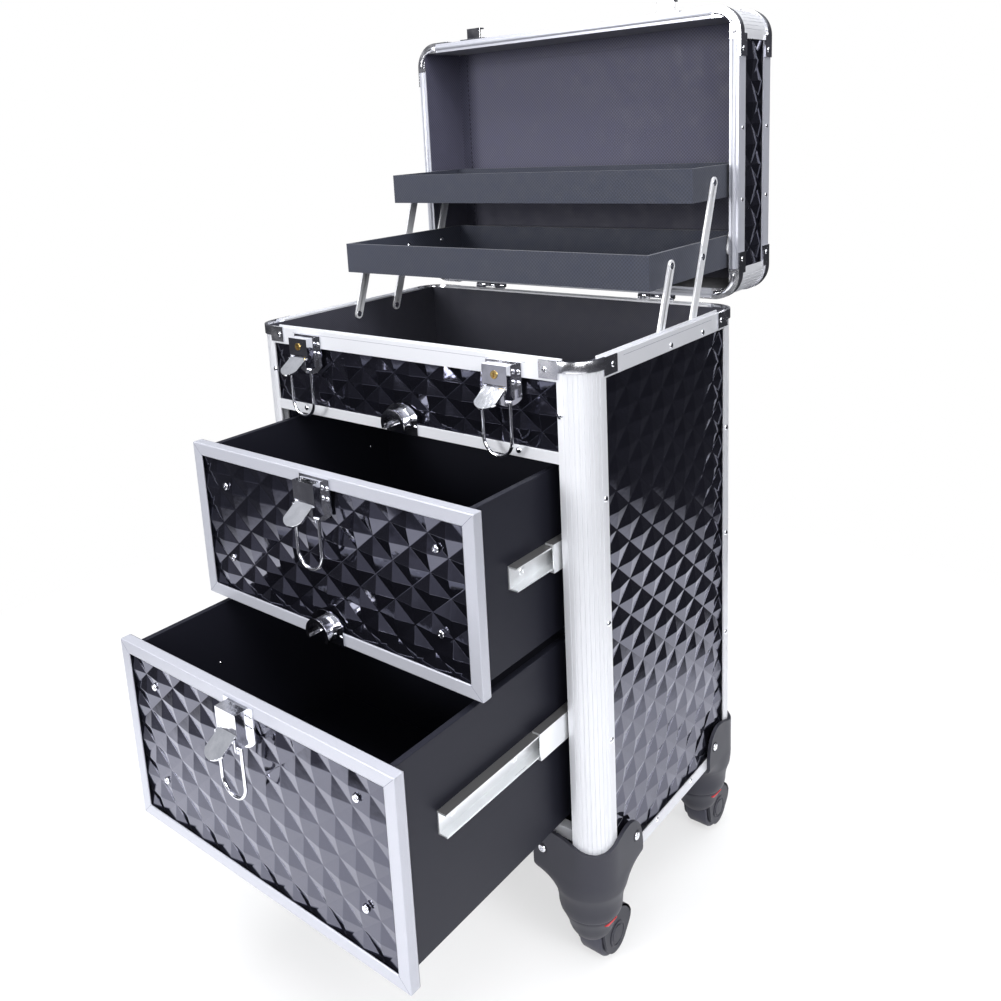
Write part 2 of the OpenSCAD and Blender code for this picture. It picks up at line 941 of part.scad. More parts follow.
module upper_drawer_rails() {
    color([0.75, 0.76, 0.78])
    upper_place() both_sides() drawer_rail(upper_slide_z);
}

module lower_drawer_box() {
    color([0.13, 0.13, 0.14])
    lower_place() drawer_box(lower_z0, lower_z1);
}

module lower_drawer_skin() {
    color([0.05, 0.05, 0.06])
    lower_place() drawer_skin(lower_z0, lower_z1);
}

module lower_drawer_frame() {
    color("silver")
    lower_place() drawer_frame(lower_z0, lower_z1);
}

module lower_drawer_rails() {
    color([0.75, 0.76, 0.78])
    lower_place() both_sides() drawer_rail(lower_slide_z);
}

// Latches: drawn at X = 0 with the plate's top edge at Z = 0 and its back on Y = 0

// A hole or a pin along X at a point given by its stand-out and its depth
module pin_x(p, z, r, x0, x1) {
    translate([x0, -p, -z])
        rotate([0, 90, 0])
        cylinder(r = r, h = x1 - x0);
}

loop_bore = wire_r + pin_clear;
cheek_in = housing_w / 2 - latch_t;
lever_half = cheek_in - lever_gap;
loop_half = housing_w / 2 + loop_gap + wire_r;

module latch_plate(locked) {
    difference() {
        union() {
            // The plate, with round lower corners
            profile_y(-latch_t, 0)
                intersection() {
                    translate([-latch_w / 2, -latch_h]) square([latch_w, latch_h]);
                    translate([0, -latch_h + latch_w * 0.62])
                        union() {
                            circle(latch_w * 0.62, $fn = 96);
                            translate([-latch_w, 0]) square([2 * latch_w, latch_h]);
                        }
                }
            // The cheeks, with a nose around the loop's pivot
            for (s = [0, 1])
                mirror([s, 0, 0])
                    profile_x(cheek_in, housing_w / 2)
                    union() {
                        translate([-housing_p, -lever_z - 2]) square([housing_p, lever_z + 1]);
                        translate([-loop_p, -loop_z]) circle(wire_r + 2);
                        translate([-loop_p - wire_r - 2, -loop_z])
                            square([loop_p, loop_z - lever_z]);
                    }
            // The front and the top of the housing
            block([-housing_w / 2, -housing_p, -housing_h - 1], [housing_w / 2, -housing_p + latch_t, -1]);
            block([-housing_w / 2, -housing_p, -1 - latch_t], [housing_w / 2, 0, -1]);
            pin_x(lever_p, lever_z, lever_pin_r, -housing_w / 2, housing_w / 2);
        }
        for (s = [0, 1])
            mirror([s, 0, 0])
                pin_x(loop_p, loop_z, loop_bore, cheek_in - 1, housing_w / 2 + 1);
        if (locked)
            translate([0, -housing_p + latch_t + 1, -plug_z])
                rotate([90, 0, 0])
                cylinder(r = plug_r + pin_clear, h = latch_t + 2);
    }
}

// The lever: a barrel on the pin and a tongue with a round end, drawn leaning out
module latch_lever() {
    translate([0, -lever_p, -lever_z])
    rotate([-lever_lean, 0, 0])
    difference() {
        union() {
            rotate([0, 90, 0])
                translate([0, 0, -lever_half])
                cylinder(r = lever_barrel_r, h = 2 * lever_half);
            profile_y(-lever_barrel_r, -lever_barrel_r + lever_t)
                intersection() {
                    translate([-lever_half, -lever_len]) square([2 * lever_half, lever_len]);
                    translate([0, -lever_len + 1.15 * lever_half])
                        union() {
                            circle(1.15 * lever_half, $fn = 96);
                            translate([-lever_half, 0]) square([2 * lever_half, lever_len]);
                        }
                }
        }
        rotate([0, 90, 0])
            translate([0, 0, -lever_half - 1])
            cylinder(r = lever_pin_r + pin_clear, h = 2 * lever_half + 2);
    }
}

// The wire loop: two legs, a round end and two ends turned into the cheeks
module latch_loop() {
    leg = loop_len - wire_r - loop_half;
    translate([0, -loop_p, -loop_z])
    union() {
        for (s = [0, 1])
            mirror([s, 0, 0]) {
                translate([loop_half, 0, -leg]) cylinder(r = wire_r, h = leg);
                translate([loop_half, 0, 0]) sphere(wire_r);
                translate([cheek_in - 0.2, 0, 0])
                    rotate([0, 90, 0])
                    cylinder(r = wire_r, h = loop_half - cheek_in + 0.2);
            }
        translate([0, 0, -leg])
            rotate([90, 0, 0])
            rotate([0, 0, 180])
            rotate_extrude(angle = 180, $fn = 96)
            translate([loop_half, 0])
            circle(wire_r, $fn = 32);
    }
}

module lock_plug() {
    translate([0, -housing_p + latch_t + 4, -plug_z])
        rotate([90, 0, 0])
        difference() {
            cylinder(r = plug_r, h = latch_t + 4.6);
            translate([-0.4, -plug_r * 0.7, latch_t + 3.6]) cube([0.8, plug_r * 1.4, 2]);
        }
}

module lid_latch_at(side) {
    place() translate([side * latch_x, 0, z_top - latch_down - 2]) children();
}

module upper_latch_at() {
    upper_place() translate([0, 0, upper_z1 - latch_down]) children();
}

module lower_latch_at() {
    lower_place() translate([0, 0, lower_z1 - latch_down]) children();
}

module lid_latch_plates() {
    color([0.8, 0.8, 0.82]) {
        lid_latch_at(-1) latch_plate(true);
        lid_latch_at(1) latch_plate(true);
    }
}

module upper_latch_plate() {
    color([0.8, 0.8, 0.82]) upper_latch_at() latch_plate(false);
}

module lower_latch_plate() {
    color([0.8, 0.8, 0.82]) lower_latch_at() latch_plate(false);
}

module lid_lever_left() {
    color([0.8, 0.8, 0.82]) lid_latch_at(-1) latch_lever();
}

module lid_lever_right() {
    color([0.8, 0.8, 0.82]) lid_latch_at(1) latch_lever();
}

module upper_lever() {
    color([0.8, 0.8, 0.82]) upper_latch_at() latch_lever();
}

module lower_lever() {
    color([0.8, 0.8, 0.82]) lower_latch_at() latch_lever();
}

module lid_loop_left() {
    color([0.8, 0.8, 0.82]) lid_latch_at(-1) latch_loop();
}

module lid_loop_right() {
    color([0.8, 0.8, 0.82]) lid_latch_at(1) latch_loop();
}

module upper_loop() {
    color([0.8, 0.8, 0.82]) upper_latch_at() latch_loop();
}

module lower_loop() {
    color([0.8, 0.8, 0.82]) lower_latch_at() latch_loop();
}

module lock_left() {
    color([0.8, 0.65, 0.25]) lid_latch_at(-1) lock_plug();
}

module lock_right() {
    color([0.8, 0.65, 0.25]) lid_latch_at(1) lock_plug();
}

// A drawer catch: a plate with a round top and an arched hood with a lip that holds the loop
module drawer_catch() {
    hood_z = catch_h - hood_r - 4;
    profile_y(-latch_t, 0)
        intersection() {
            translate([-catch_w / 2, 0]) square([catch_w, catch_h]);
            translate([0, catch_h - 0.62 * catch_w])
                union() {
                    circle(0.62 * catch_w, $fn = 96);
                    translate([-catch_w, -catch_h]) square([2 * catch_w, catch_h]);
                }
        }
    profile_y(-hood_p, -latch_t)
        hood_arch(hood_z, hood_r, hood_t);
    profile_y(-hood_p, -hood_p + latch_t)
        hood_arch(hood_z, hood_r + hood_lip, hood_t + hood_lip);
}

module hood_arch(z, r, t) {
    intersection() {
        translate([0, z]) difference() {
            circle(r);
            circle(r - t);
        }
        translate([-2 * r, z - 0.4 * hood_r]) square([4 * r, 4 * r]);
    }
}

module upper_drawer_catch() {
    color([0.8, 0.8, 0.82])
    place() translate([0, 0, divider_z]) drawer_catch();
}

module lower_drawer_catch() {
    color([0.8, 0.8, 0.82])
    upper_place() translate([0, 0, upper_z0]) drawer_catch();
}

// Hinges, drawn with the axis along X at Y = 0 and Z = 0 and the walls before it

module knuckle(x0, x1, bored) {
    translate([x0, 0, 0])
        rotate([0, 90, 0])
        difference() {
            cylinder(r = knuckle_r, h = x1 - x0);
            if (bored)
                translate([0, 0, -1])
                    cylinder(r = hinge_pin_r + pin_clear, h = x1 - x0 + 2);
        }
}

third = hinge_w / 3;
leaf_y0 = -hinge_out;
leaf_y1 = -hinge_out + leaf_t;

module body_leaf() {
    for (x = [-hinge_w / 2, hinge_w / 2 - third + 0.2]) {
        knuckle(x, x + third - 0.2, false);
        block([x, leaf_y0, -hinge_out - lid_gap - 1], [x + third - 0.2, leaf_y1, 0]);
    }
    block(
        [-hinge_w / 2, leaf_y0, -hinge_out - lid_gap - leaf_h],
        [hinge_w / 2, leaf_y1, -hinge_out - lid_gap]
    );
    translate([-hinge_w / 2, 0, 0])
        rotate([0, 90, 0])
        cylinder(r = hinge_pin_r, h = hinge_w);
}

module body_hinge_leaves() {
    color([0.8, 0.8, 0.82])
    place()
    both_sides()
        translate([hinge_x, hinge_y, hinge_z])
        body_leaf();
}

module lid_leaf() {
    difference() {
        union() {
            knuckle(-hinge_w / 2 + third + 0.2, hinge_w / 2 - third - 0.2, false);
            block(
                [-hinge_w / 2 + third + 0.2, leaf_y0, 0],
                [hinge_w / 2 - third - 0.2, leaf_y1, knuckle_r + 1]
            );
            block(
                [-hinge_w / 2, leaf_y0, knuckle_r + 0.3],
                [hinge_w / 2, leaf_y1, leaf_h]
            );
        }
        translate([-hinge_w, 0, 0])
            rotate([0, 90, 0])
            cylinder(r = hinge_pin_r + pin_clear, h = 2 * hinge_w);
    }
}

module lid_hinge_leaves() {
    color([0.8, 0.8, 0.82])
    lid_place()
    both_sides()
        translate([hinge_x, hinge_y, hinge_out])
        lid_leaf();
}

// The lid, drawn shut with Z = 0 on its rim plane

module lid_top_board() {
    color([0.13, 0.13, 0.14])
    lid_place()
        block(
            [-half_w + d_lip + 0.1, d_lip + 0.1, lid_in_top],
            [half_w - d_lip - 0.1, case_d - d_lip - 0.1, lid_h - d_skin]
        );
}

module lid_walls() {
    color([0.13, 0.13, 0.14])
    lid_place() {
        both_ends()
            block(
                [-half_w + board_end, d_skin, flange_t],
                [half_w - board_end, d_in, lid_h - d_skin]
            );
        both_sides()
            block(
                [half_w - d_in, board_end, flange_t],
                [half_w - d_skin, case_d - board_end, lid_h - d_skin]
            );
    }
}

module lid_corner_posts() {
    color("silver")
    lid_place()
    both_sides()
    both_ends()
        post(flange_t, lid_h - d_skin - board_gap);
}

module lid_skins() {
    color([0.05, 0.05, 0.06])
    lid_place() {
        both_ends()
            translate([0, d_tip, 0])
            skin_window(-open_w, open_w, lid_rail_h, lid_h - lid_trim_h, lid_rows);
        both_sides()
            side_skin_window(
                post_y, case_d - post_y, lid_rail_h, lid_h - lid_trim_h, lid_rows
            );
        translate([0, 0, lid_h - d_tip])
            rotate([-90, 0, 0])
            skin_window(
                -half_w + lid_edge, half_w - lid_edge,
                lid_edge, case_d - lid_edge
            );
    }
}

module lid_rail_section() {
    square([flange_t, lid_rail_h]);
    square([d_lip, flange_t]);
    translate([d_in, 0]) square([flange_t, rim_lip_h]);
    intersection() {
        translate([d_lip / 2, 0]) circle(bead_r);
        translate([0, -bead_r]) square([d_lip, bead_r + 0.5]);
    }
}

module lid_trim_section() {
    translate([0, lid_h - lid_trim_h]) square([flange_t, lid_trim_h]);
    translate([0, lid_h - flange_t]) square([lid_trim_w, flange_t]);
}

module lid_trim() {
    color("silver")
    lid_place() {
        both_ends() front_rail(open_w - board_gap) lid_rail_section();
        both_ends() front_rail(open_w - board_gap) lid_trim_section();
        both_sides()
            side_rail(post_y + board_gap, case_d - post_y - board_gap)
            lid_rail_section();
        both_sides()
            side_rail(post_y + board_gap, case_d - post_y - board_gap)
            lid_trim_section();
    }
}

// The half-round bead bent around a rim corner
module bead_corner() {
    translate([half_w - post_r, post_r, 0])
        rotate([0, 0, -90])
        rotate_extrude(angle = 90, $fn = 96)
        intersection() {
            translate([post_r - d_lip / 2, 0]) circle(bead_r);
            translate([0, -bead_r]) square([post_r, bead_r + 0.5]);
        }
}

module lid_corner_caps() {
    color([0.8, 0.8, 0.82])
    lid_place()
    both_sides()
    both_ends() {
        union() {
            rim_cap(0, 0, false);
            bead_corner();
        }
        rim_cap(lid_h, lid_h, true);
    }
}

// A lid catch: a plate on the rim rail and a hook turned up at its end
module lid_catch() {
    block([-lid_catch_w / 2, -latch_t, 2], [lid_catch_w / 2, 0, lid_rail_h + 1]);
    block([-lid_hook_w / 2, -lid_hook_p, 6], [lid_hook_w / 2, 0, 6 + hood_t]);
    block(
        [-lid_hook_w / 2, -lid_hook_p, 6],
        [lid_hook_w / 2, -lid_hook_p + latch_t, lid_rail_h]
    );
}

module lid_catches() {
    color([0.8, 0.8, 0.82])
    lid_place()
    both_sides()
        translate([latch_x, 0, 0])
        lid_catch();
}

// Trays, drawn around their main pivot: Y from the pivot, Z from the pivot

module tray(front, depth, up, pivots) {
    bottom = -up;
    both_sides()
        union() {
            block(
                [tray_half - tray_wall, -front, bottom],
                [tray_half, depth - front, bottom + tray_h]
            );
            for (y = pivots)
                translate([tray_half - 0.5, y, 0])
                    rotate([0, 90, 0])
                    cylinder(r = pivot_r, h = 0.5 + arm_gap + arm_t);
        }
    for (y = [-front, depth - front - tray_wall])
        block(
            [-tray_half + tray_wall + board_gap, y, bottom],
            [tray_half - tray_wall - board_gap, y + tray_wall, bottom + tray_h]
        );
    block(
        [-tray_half + tray_wall + board_gap, -front + tray_wall + board_gap, bottom],
        [tray_half - tray_wall - board_gap, depth - front - tray_wall - board_gap, bottom + tray_wall]
    );
}

module lower_tray() {
    color([0.2, 0.2, 0.21])
    place()
        translate([0, main_arm_y + step_y, pivot_z + step_z])
        tray(lower_tray_front, lower_tray_d, lower_pivot_up, [-front_arm_off, 0, rear_arm_off]);
}

module upper_tray() {
    color([0.2, 0.2, 0.21])
    place()
        translate([0, main_arm_y + 2 * step_y, pivot_z + 2 * step_z])
        tray(upper_tray_front, upper_tray_d, upper_pivot_up, [0, rear_arm_off]);
}

// A pair of arms from a pivot up to the last of its pivots
module arms(y, z, stages) {
    both_sides()
        translate([arm_x0, y, z])
        rotate([-arm_lean, 0, 0])
        rotate([90, 0, 90])
        linear_extrude(arm_t)
        difference() {
            union() {
                translate([-arm_w / 2, 0]) square([arm_w, stages * arm_l]);
                circle(arm_w / 2);
                translate([0, stages * arm_l]) circle(arm_w / 2);
            }
            for (k = [0 : stages])
                translate([0, k * arm_l]) circle(pivot_r + pin_clear);
        }
}

module front_arms() {
    color([0.82, 0.83, 0.85])
    place() arms(main_arm_y - front_arm_off, pivot_z, 1);
}

module main_arms() {
    color([0.82, 0.83, 0.85])
    place() arms(main_arm_y, pivot_z, 2);
}

module rear_arms() {
    color([0.82, 0.83, 0.85])
    place() arms(main_arm_y + rear_arm_off + step_y, pivot_z + step_z, 1);
}

// Caster brackets: a socket around the body's corner, two swept wings and a cup for the stem

module bracket() {
    g = bracket_gap;
    out = bracket_gap + bracket_t;
    low = bracket_z + flare_h;
    high = body_z0 + socket_h;
    difference() {
        union() {
            corner_ring(post_r + g, post_r + out, low, high);
            // The wings, each swept up from below
            difference() {
                block([half_w - wing_x, -out, low], [half_w - post_r, -g, high]);
                translate([half_w - wing_x - 2, 1, low + 2])
                    rotate([90, 0, 0])
                    cylinder(r = sweep_r, h = out + 2, $fn = 96);
            }
            difference() {
                block([half_w + g, post_r, low], [half_w + out, wing_y, high]);
                translate([half_w - 1, wing_y + 2, low + 2])
                    rotate([0, 90, 0])
                    cylinder(r = sweep_r, h = out + 2, $fn = 96);
            }
            // The floor under the body's corner
            intersection() {
                block(
                    [half_w - wing_x, -out, body_z0 - 4 - g],
                    [half_w + out, wing_y, body_z0 - g]
                );
                translate([stem_x, stem_in, body_z0 - 5 - g])
                    cylinder(r = stem_in + out + 8, h = 6, $fn = 96);
                union() {
                    block([0, post_r, 0], [half_w - post_r, case_d, z_top]);
                    block([0, -out, 0], [half_w - post_r, post_r + 1, z_top]);
                    block([half_w - post_r - 1, post_r, 0], [half_w + out, case_d, z_top]);
                    translate([half_w - post_r, post_r, 0])
                        cylinder(r = post_r + out, h = z_top, $fn = 96);
                }
            }
            // The cup and the flare above it
            translate([stem_x, stem_in, 0])
                rotate_extrude($fn = 96)
                polygon([
                    [0, bracket_z],
                    [cup_r - 1, bracket_z],
                    [cup_r, bracket_z + 1],
                    [cup_r, bracket_z + 0.4 * flare_h],
                    [cup_r + 0.09 * flare_r, bracket_z + 0.56 * flare_h],
                    [cup_r + 0.35 * flare_r, bracket_z + 0.76 * flare_h],
                    [cup_r + 0.7 * flare_r, bracket_z + flare_h],
                    [cup_r + 0.92 * flare_r, bracket_z + 1.32 * flare_h],
                    [cup_r + flare_r, body_z0 - g - 2],
                    [0, body_z0 - g - 2]
                ]);
        }
        // The scoop in the top edge at the corner
        translate([half_w, 0, high + scoop_r - 5])
            rotate([0, 0, 45])
            rotate([90, 0, 90])
            translate([0, 0, -wing_x])
            cylinder(r = scoop_r, h = 2 * wing_x, $fn = 96);
        // The stem's bore
        translate([stem_x, stem_in, bracket_z - 1])
            cylinder(r = stem_r + pin_clear, h = 17);
    }
}

module caster_brackets() {
    color([0.06, 0.06, 0.06])
    place()
    both_sides()
    both_ends()
        bracket();
}

// A fork at its stem's axis: the hood over the wheel, the cheeks, the axle and the stem
module fork() {
    slot_r = wheel_r + wheel_gap;
    slot_half = wheel_w / 2 + wheel_gap - 0.5;
    reach = 3 * wheel_r;
    union() {
        difference() {
            union() {
                profile_x(-fork_half, fork_half)
                    intersection() {
                        translate([trail, wheel_r])
                            union() {
                                intersection() {
                                    circle(slot_r + crown_t, $fn = 96);
                                    translate([-reach, -wheel_r / 5]) square(2 * reach);
                                }
                                circle(11);
                            }
                        translate([-reach, 0]) square([2 * reach, fork_top]);
                    }
                translate([0, 0, fork_top - 13]) cylinder(r = cup_r - 1.5, h = 13, $fn = 96);
            }
            translate([-slot_half, trail, wheel_r])
                rotate([0, 90, 0])
                cylinder(r = slot_r, h = 2 * slot_half, $fn = 96);
            block([-slot_half, trail - slot_r, -1], [slot_half, trail + slot_r, wheel_r]);
        }
        cylinder_between_cheeks();
        translate([0, 0, fork_top - 1]) cylinder(r = stem_r, h = 15);
    }
}

module cylinder_between_cheeks() {
    translate([-fork_half, trail, wheel_r])
        rotate([0, 90, 0])
        cylinder(r = axle_r, h = 2 * fork_half);
    for (s = [0, 1])
        mirror([s, 0, 0])
            translate([fork_half - 0.2, trail, wheel_r])
            rotate([0, 90, 0])
            cylinder(r = 7, h = 1);
}

module wheel() {
    w = wheel_w / 2;
    translate([0, trail, wheel_r])
        rotate([0, 90, 0])
        rotate_extrude($fn = 96)
        polygon([
            [axle_r + pin_clear, -w],
            [8, -w],
            [9, -w + 2],
            [14, -w + 2],
            [15, -w],
            [wheel_r - 2, -w],
            [wheel_r - 0.6, -w + 0.6],
            [wheel_r, -w + 2],
            [wheel_r, w - 2],
            [wheel_r - 0.6, w - 0.6],
            [wheel_r - 2, w],
            [15, w],
            [14, w - 2],
            [9, w - 2],
            [8, w],
            [axle_r + pin_clear, w]
        ]);
}

module caster_at(side, rear) {
    place()
        translate([side * stem_x, rear ? case_d - stem_in : stem_in, 0])
        children();
}

module fork_front_left() {
    color([0.07, 0.07, 0.07]) caster_at(-1, false) fork();
}

module fork_front_right() {
    color([0.07, 0.07, 0.07]) caster_at(1, false) fork();
}

module fork_rear_left() {
    color([0.07, 0.07, 0.07]) caster_at(-1, true) fork();
}

module fork_rear_right() {
    color([0.07, 0.07, 0.07]) caster_at(1, true) fork();
}

module wheel_front_left() {
    color([0.15, 0.15, 0.15]) caster_at(-1, false) wheel();
}

module wheel_front_right() {
    color([0.15, 0.15, 0.15]) caster_at(1, false) wheel();
}

module wheel_rear_left() {
    color([0.15, 0.15, 0.15]) caster_at(-1, true) wheel();
}

module wheel_rear_right() {
    color([0.15, 0.15, 0.15]) caster_at(1, true) wheel();
}

corner_posts();
side_boards();
back_board();
front_boards();
base_board();
compartment_floor();
body_skins();
top_rim_rails();
lower_rails();
rim_corner_caps();
runner_boards();
slide_channels();
body_hinge_leaves();
caster_brackets();
lid_latch_plates();
upper_drawer_catch();
lid_top_board();
lid_walls();
lid_corner_posts();
lid_skins();
lid_trim();
lid_corner_caps();
lid_catches();
lid_hinge_leaves();
upper_drawer_box();
upper_drawer_skin();
upper_drawer_frame();
upper_latch_plate();
upper_drawer_rails();
lower_drawer_catch();
lower_drawer_box();
lower_drawer_skin();
lower_drawer_frame();
lower_latch_plate();
lower_drawer_rails();
upper_slide_middles();
lower_slide_middles();
lower_tray();
upper_tray();
front_arms();
main_arms();
rear_arms();
lid_lever_left();
lid_lever_right();
upper_lever();
lower_lever();
lid_loop_left();
lid_loop_right();
upper_loop();
lower_loop();
lock_left();
lock_right();
fork_front_left();
fork_front_right();
fork_rear_left();
fork_rear_right();
wheel_front_left();
wheel_front_right();
wheel_rear_left();
wheel_rear_right();
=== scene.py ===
# Rolling makeup case: finishes, fasteners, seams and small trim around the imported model
import math

import bmesh
import bpy
from mathutils import Matrix, Vector


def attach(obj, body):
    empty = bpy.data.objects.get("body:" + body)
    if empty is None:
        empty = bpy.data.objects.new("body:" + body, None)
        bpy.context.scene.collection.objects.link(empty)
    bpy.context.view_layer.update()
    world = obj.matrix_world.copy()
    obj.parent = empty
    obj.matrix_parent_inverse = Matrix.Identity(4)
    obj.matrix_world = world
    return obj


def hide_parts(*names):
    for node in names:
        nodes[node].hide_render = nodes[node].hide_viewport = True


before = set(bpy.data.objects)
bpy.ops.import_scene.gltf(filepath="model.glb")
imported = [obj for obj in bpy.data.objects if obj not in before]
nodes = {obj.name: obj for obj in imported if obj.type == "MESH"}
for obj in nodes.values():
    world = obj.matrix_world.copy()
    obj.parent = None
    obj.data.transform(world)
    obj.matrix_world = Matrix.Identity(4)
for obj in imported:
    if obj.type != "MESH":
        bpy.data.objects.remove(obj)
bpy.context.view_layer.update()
scene = bpy.context.scene

# Sizes of the case in millimetres: x from the middle, y back from the front posts, z up from the floor
MM = 0.001
FRONT_PLANE = 46.7306
HALF_W = 174.0
DEPTH = 240.0
POST_R = 22.0
POST_X = HALF_W - POST_R
LID_OPEN_TOP = 755.0
UPPER_FACE = -95.4
LOWER_FACE = -182.0
# Half width, lower edge and upper edge of each drawer's frame
UPPER_FRONT = (149.0, 297.2, 430.7)
LOWER_FRONT = (149.0, 136.4, 292.9)

# The photograph's camera, in pixels of the 1001 by 1001 picture
PICTURE = 1001.0
FOCAL_PX = 975.335
CENTRE_X_PX = 466.464
CENTRE_Y_PX = 350.885
CAMERA_AT = (523.524, -536.856, 665.807)
CAMERA_AZIMUTH = 40.141
CAMERA_ELEVATION = 12.553
CAMERA_ROLL = -3.21
SENSOR_MM = 36.0

FRONT = Vector((0, -1, 0))
BACK = Vector((0, 1, 0))
RIGHT = Vector((1, 0, 0))
LEFT = Vector((-1, 0, 0))
UP = Vector((0, 0, 1))


def at(x, y, z):
    """A point of the case, given in millimetres, in the frame's metres."""
    return Vector((x * MM, (y - FRONT_PLANE) * MM, z * MM))


def lid_at(x, y, z):
    """A point given on the shut lid, at its open place."""
    return at(x, DEPTH + z, LID_OPEN_TOP - y)


def lid_way(way):
    """A direction given on the shut lid, as it is on the open one."""
    return Vector((way.x, way.z, -way.y))


# Node helpers
def put(tree, kind, inputs=None, **settings):
    node = tree.nodes.new(kind)
    for key, value in settings.items():
        setattr(node, key, value)
    for key, value in (inputs or {}).items():
        if isinstance(value, bpy.types.NodeSocket):
            tree.links.new(value, node.inputs[key])
        else:
            node.inputs[key].default_value = value
    return node


def math_node(tree, operation, a, b=0.0):
    node = put(tree, "ShaderNodeMath", operation=operation)
    for index, value in enumerate((a, b)):
        if isinstance(value, bpy.types.NodeSocket):
            tree.links.new(value, node.inputs[index])
        else:
            node.inputs[index].default_value = value
    return node.outputs[0]


def stepped(tree, value, low, high, to_low=0.0, to_high=1.0):
    """A value taken from one range to another and kept inside it."""
    node = put(tree, "ShaderNodeMapRange", {"Value": value}, clamp=True)
    node.inputs["From Min"].default_value = low
    node.inputs["From Max"].default_value = high
    node.inputs["To Min"].default_value = to_low
    node.inputs["To Max"].default_value = to_high
    return node.outputs["Result"]


def mixed_colour(tree, share, a, b):
    node = put(tree, "ShaderNodeMix", data_type="RGBA")
    for key, value in (("Factor", share), ("A", a), ("B", b)):
        socket = next(s for s in node.inputs if s.name == key and s.enabled)
        if isinstance(value, bpy.types.NodeSocket):
            tree.links.new(value, socket)
        else:
            socket.default_value = value
    return next(s for s in node.outputs if s.enabled)


def effect_group(name, inputs, outputs):
    tree = bpy.data.node_groups.new(name, "ShaderNodeTree")
    for socket, kind, default in inputs:
        made = tree.interface.new_socket(socket, in_out="INPUT", socket_type=kind)
        made.default_value = default
    for socket, kind in outputs:
        tree.interface.new_socket(socket, in_out="OUTPUT", socket_type=kind)
    return tree, tree.nodes.new("NodeGroupInput"), tree.nodes.new("NodeGroupOutput")


FLOAT = "NodeSocketFloat"
VECTOR = "NodeSocketVector"


def rolled_streaks():
    """Fine lines along an extrusion: Stretch is the lines per metre in each direction."""
    tree, came, gives = effect_group(
        "rolled_streaks",
        [("Stretch", VECTOR, (900, 900, 5)), ("Blotch", FLOAT, 14.0)],
        [("Lines", FLOAT), ("Blotches", FLOAT)],
    )
    place = put(tree, "ShaderNodeTexCoord").outputs["Object"]
    scaled = put(tree, "ShaderNodeVectorMath", operation="MULTIPLY")
    tree.links.new(place, scaled.inputs[0])
    tree.links.new(came.outputs["Stretch"], scaled.inputs[1])
    lines = put(tree, "ShaderNodeTexNoise", {"Vector": scaled.outputs[0], "Scale": 1.0, "Detail": 3.0})
    blotch = put(tree, "ShaderNodeTexNoise", {"Vector": place, "Detail": 3.0})
    tree.links.new(came.outputs["Blotch"], blotch.inputs["Scale"])
    tree.links.new(lines.outputs[0], gives.inputs["Lines"])
    tree.links.new(blotch.outputs[0], gives.inputs["Blotches"])
    return tree


def plain_weave():
    """Over and under threads on whichever plane the face lies in: Pitch is threads per metre."""
    tree, came, gives = effect_group(
        "plain_weave",
        [("Pitch", FLOAT, 1500.0)],
        [("Threads", FLOAT), ("Slubs", FLOAT)],
    )
    spot = put(tree, "ShaderNodeTexCoord")
    place = spot.outputs["Object"]
    parts = put(tree, "ShaderNodeSeparateXYZ", {"Vector": place})
    normal = put(tree, "ShaderNodeSeparateXYZ", {"Vector": spot.outputs["Normal"]})
    pitch = math_node(tree, "MULTIPLY", came.outputs["Pitch"], math.pi)
    turns = [math_node(tree, "MULTIPLY", parts.outputs[i], pitch) for i in range(3)]
    waves = [math_node(tree, "SINE", turn) for turn in turns]
    total = None
    for axis, (u, v) in enumerate(((1, 2), (0, 2), (0, 1))):
        over = math_node(tree, "MULTIPLY", waves[u], waves[v])
        side = math_node(tree, "GREATER_THAN", math_node(tree, "ABSOLUTE", normal.outputs[axis]), 0.6)
        part = math_node(tree, "MULTIPLY", over, side)
        total = part if total is None else math_node(tree, "ADD", total, part)
    threads = stepped(tree, total, -1.0, 1.0)
    slub = put(tree, "ShaderNodeTexNoise", {"Vector": place, "Scale": 90.0, "Detail": 4.0})
    tree.links.new(threads, gives.inputs["Threads"])
    tree.links.new(slub.outputs[0], gives.inputs["Slubs"])
    return tree


def moulded_grain():
    """The fine stipple of a moulded or printed surface, with broad unevenness."""
    tree, came, gives = effect_group(
        "moulded_grain",
        [("Grain", FLOAT, 2200.0), ("Unevenness", FLOAT, 25.0)],
        [("Stipple", FLOAT), ("Broad", FLOAT)],
    )
    place = put(tree, "ShaderNodeTexCoord").outputs["Object"]
    fine = put(tree, "ShaderNodeTexNoise", {"Vector": place, "Detail": 2.0})
    broad = put(tree, "ShaderNodeTexNoise", {"Vector": place, "Detail": 3.0})
    tree.links.new(came.outputs["Grain"], fine.inputs["Scale"])
    tree.links.new(came.outputs["Unevenness"], broad.inputs["Scale"])
    tree.links.new(fine.outputs[0], gives.inputs["Stipple"])
    tree.links.new(broad.outputs[0], gives.inputs["Broad"])
    return tree


STREAKS = rolled_streaks()
WEAVE = plain_weave()
GRAIN = moulded_grain()


def finish_of(name):
    made = bpy.data.materials.new(name)
    made.use_nodes = True
    tree = made.node_tree
    shader = next(n for n in tree.nodes if n.type == "BSDF_PRINCIPLED")
    return made, tree, shader


def effect(tree, group, **inputs):
    node = tree.nodes.new("ShaderNodeGroup")
    node.node_tree = group
    for key, value in inputs.items():
        node.inputs[key].default_value = value
    return node.outputs


def bumped(tree, shader, height, distance, strength=1.0):
    node = put(tree, "ShaderNodeBump", {"Height": height, "Distance": distance, "Strength": strength})
    tree.links.new(node.outputs[0], shader.inputs["Normal"])


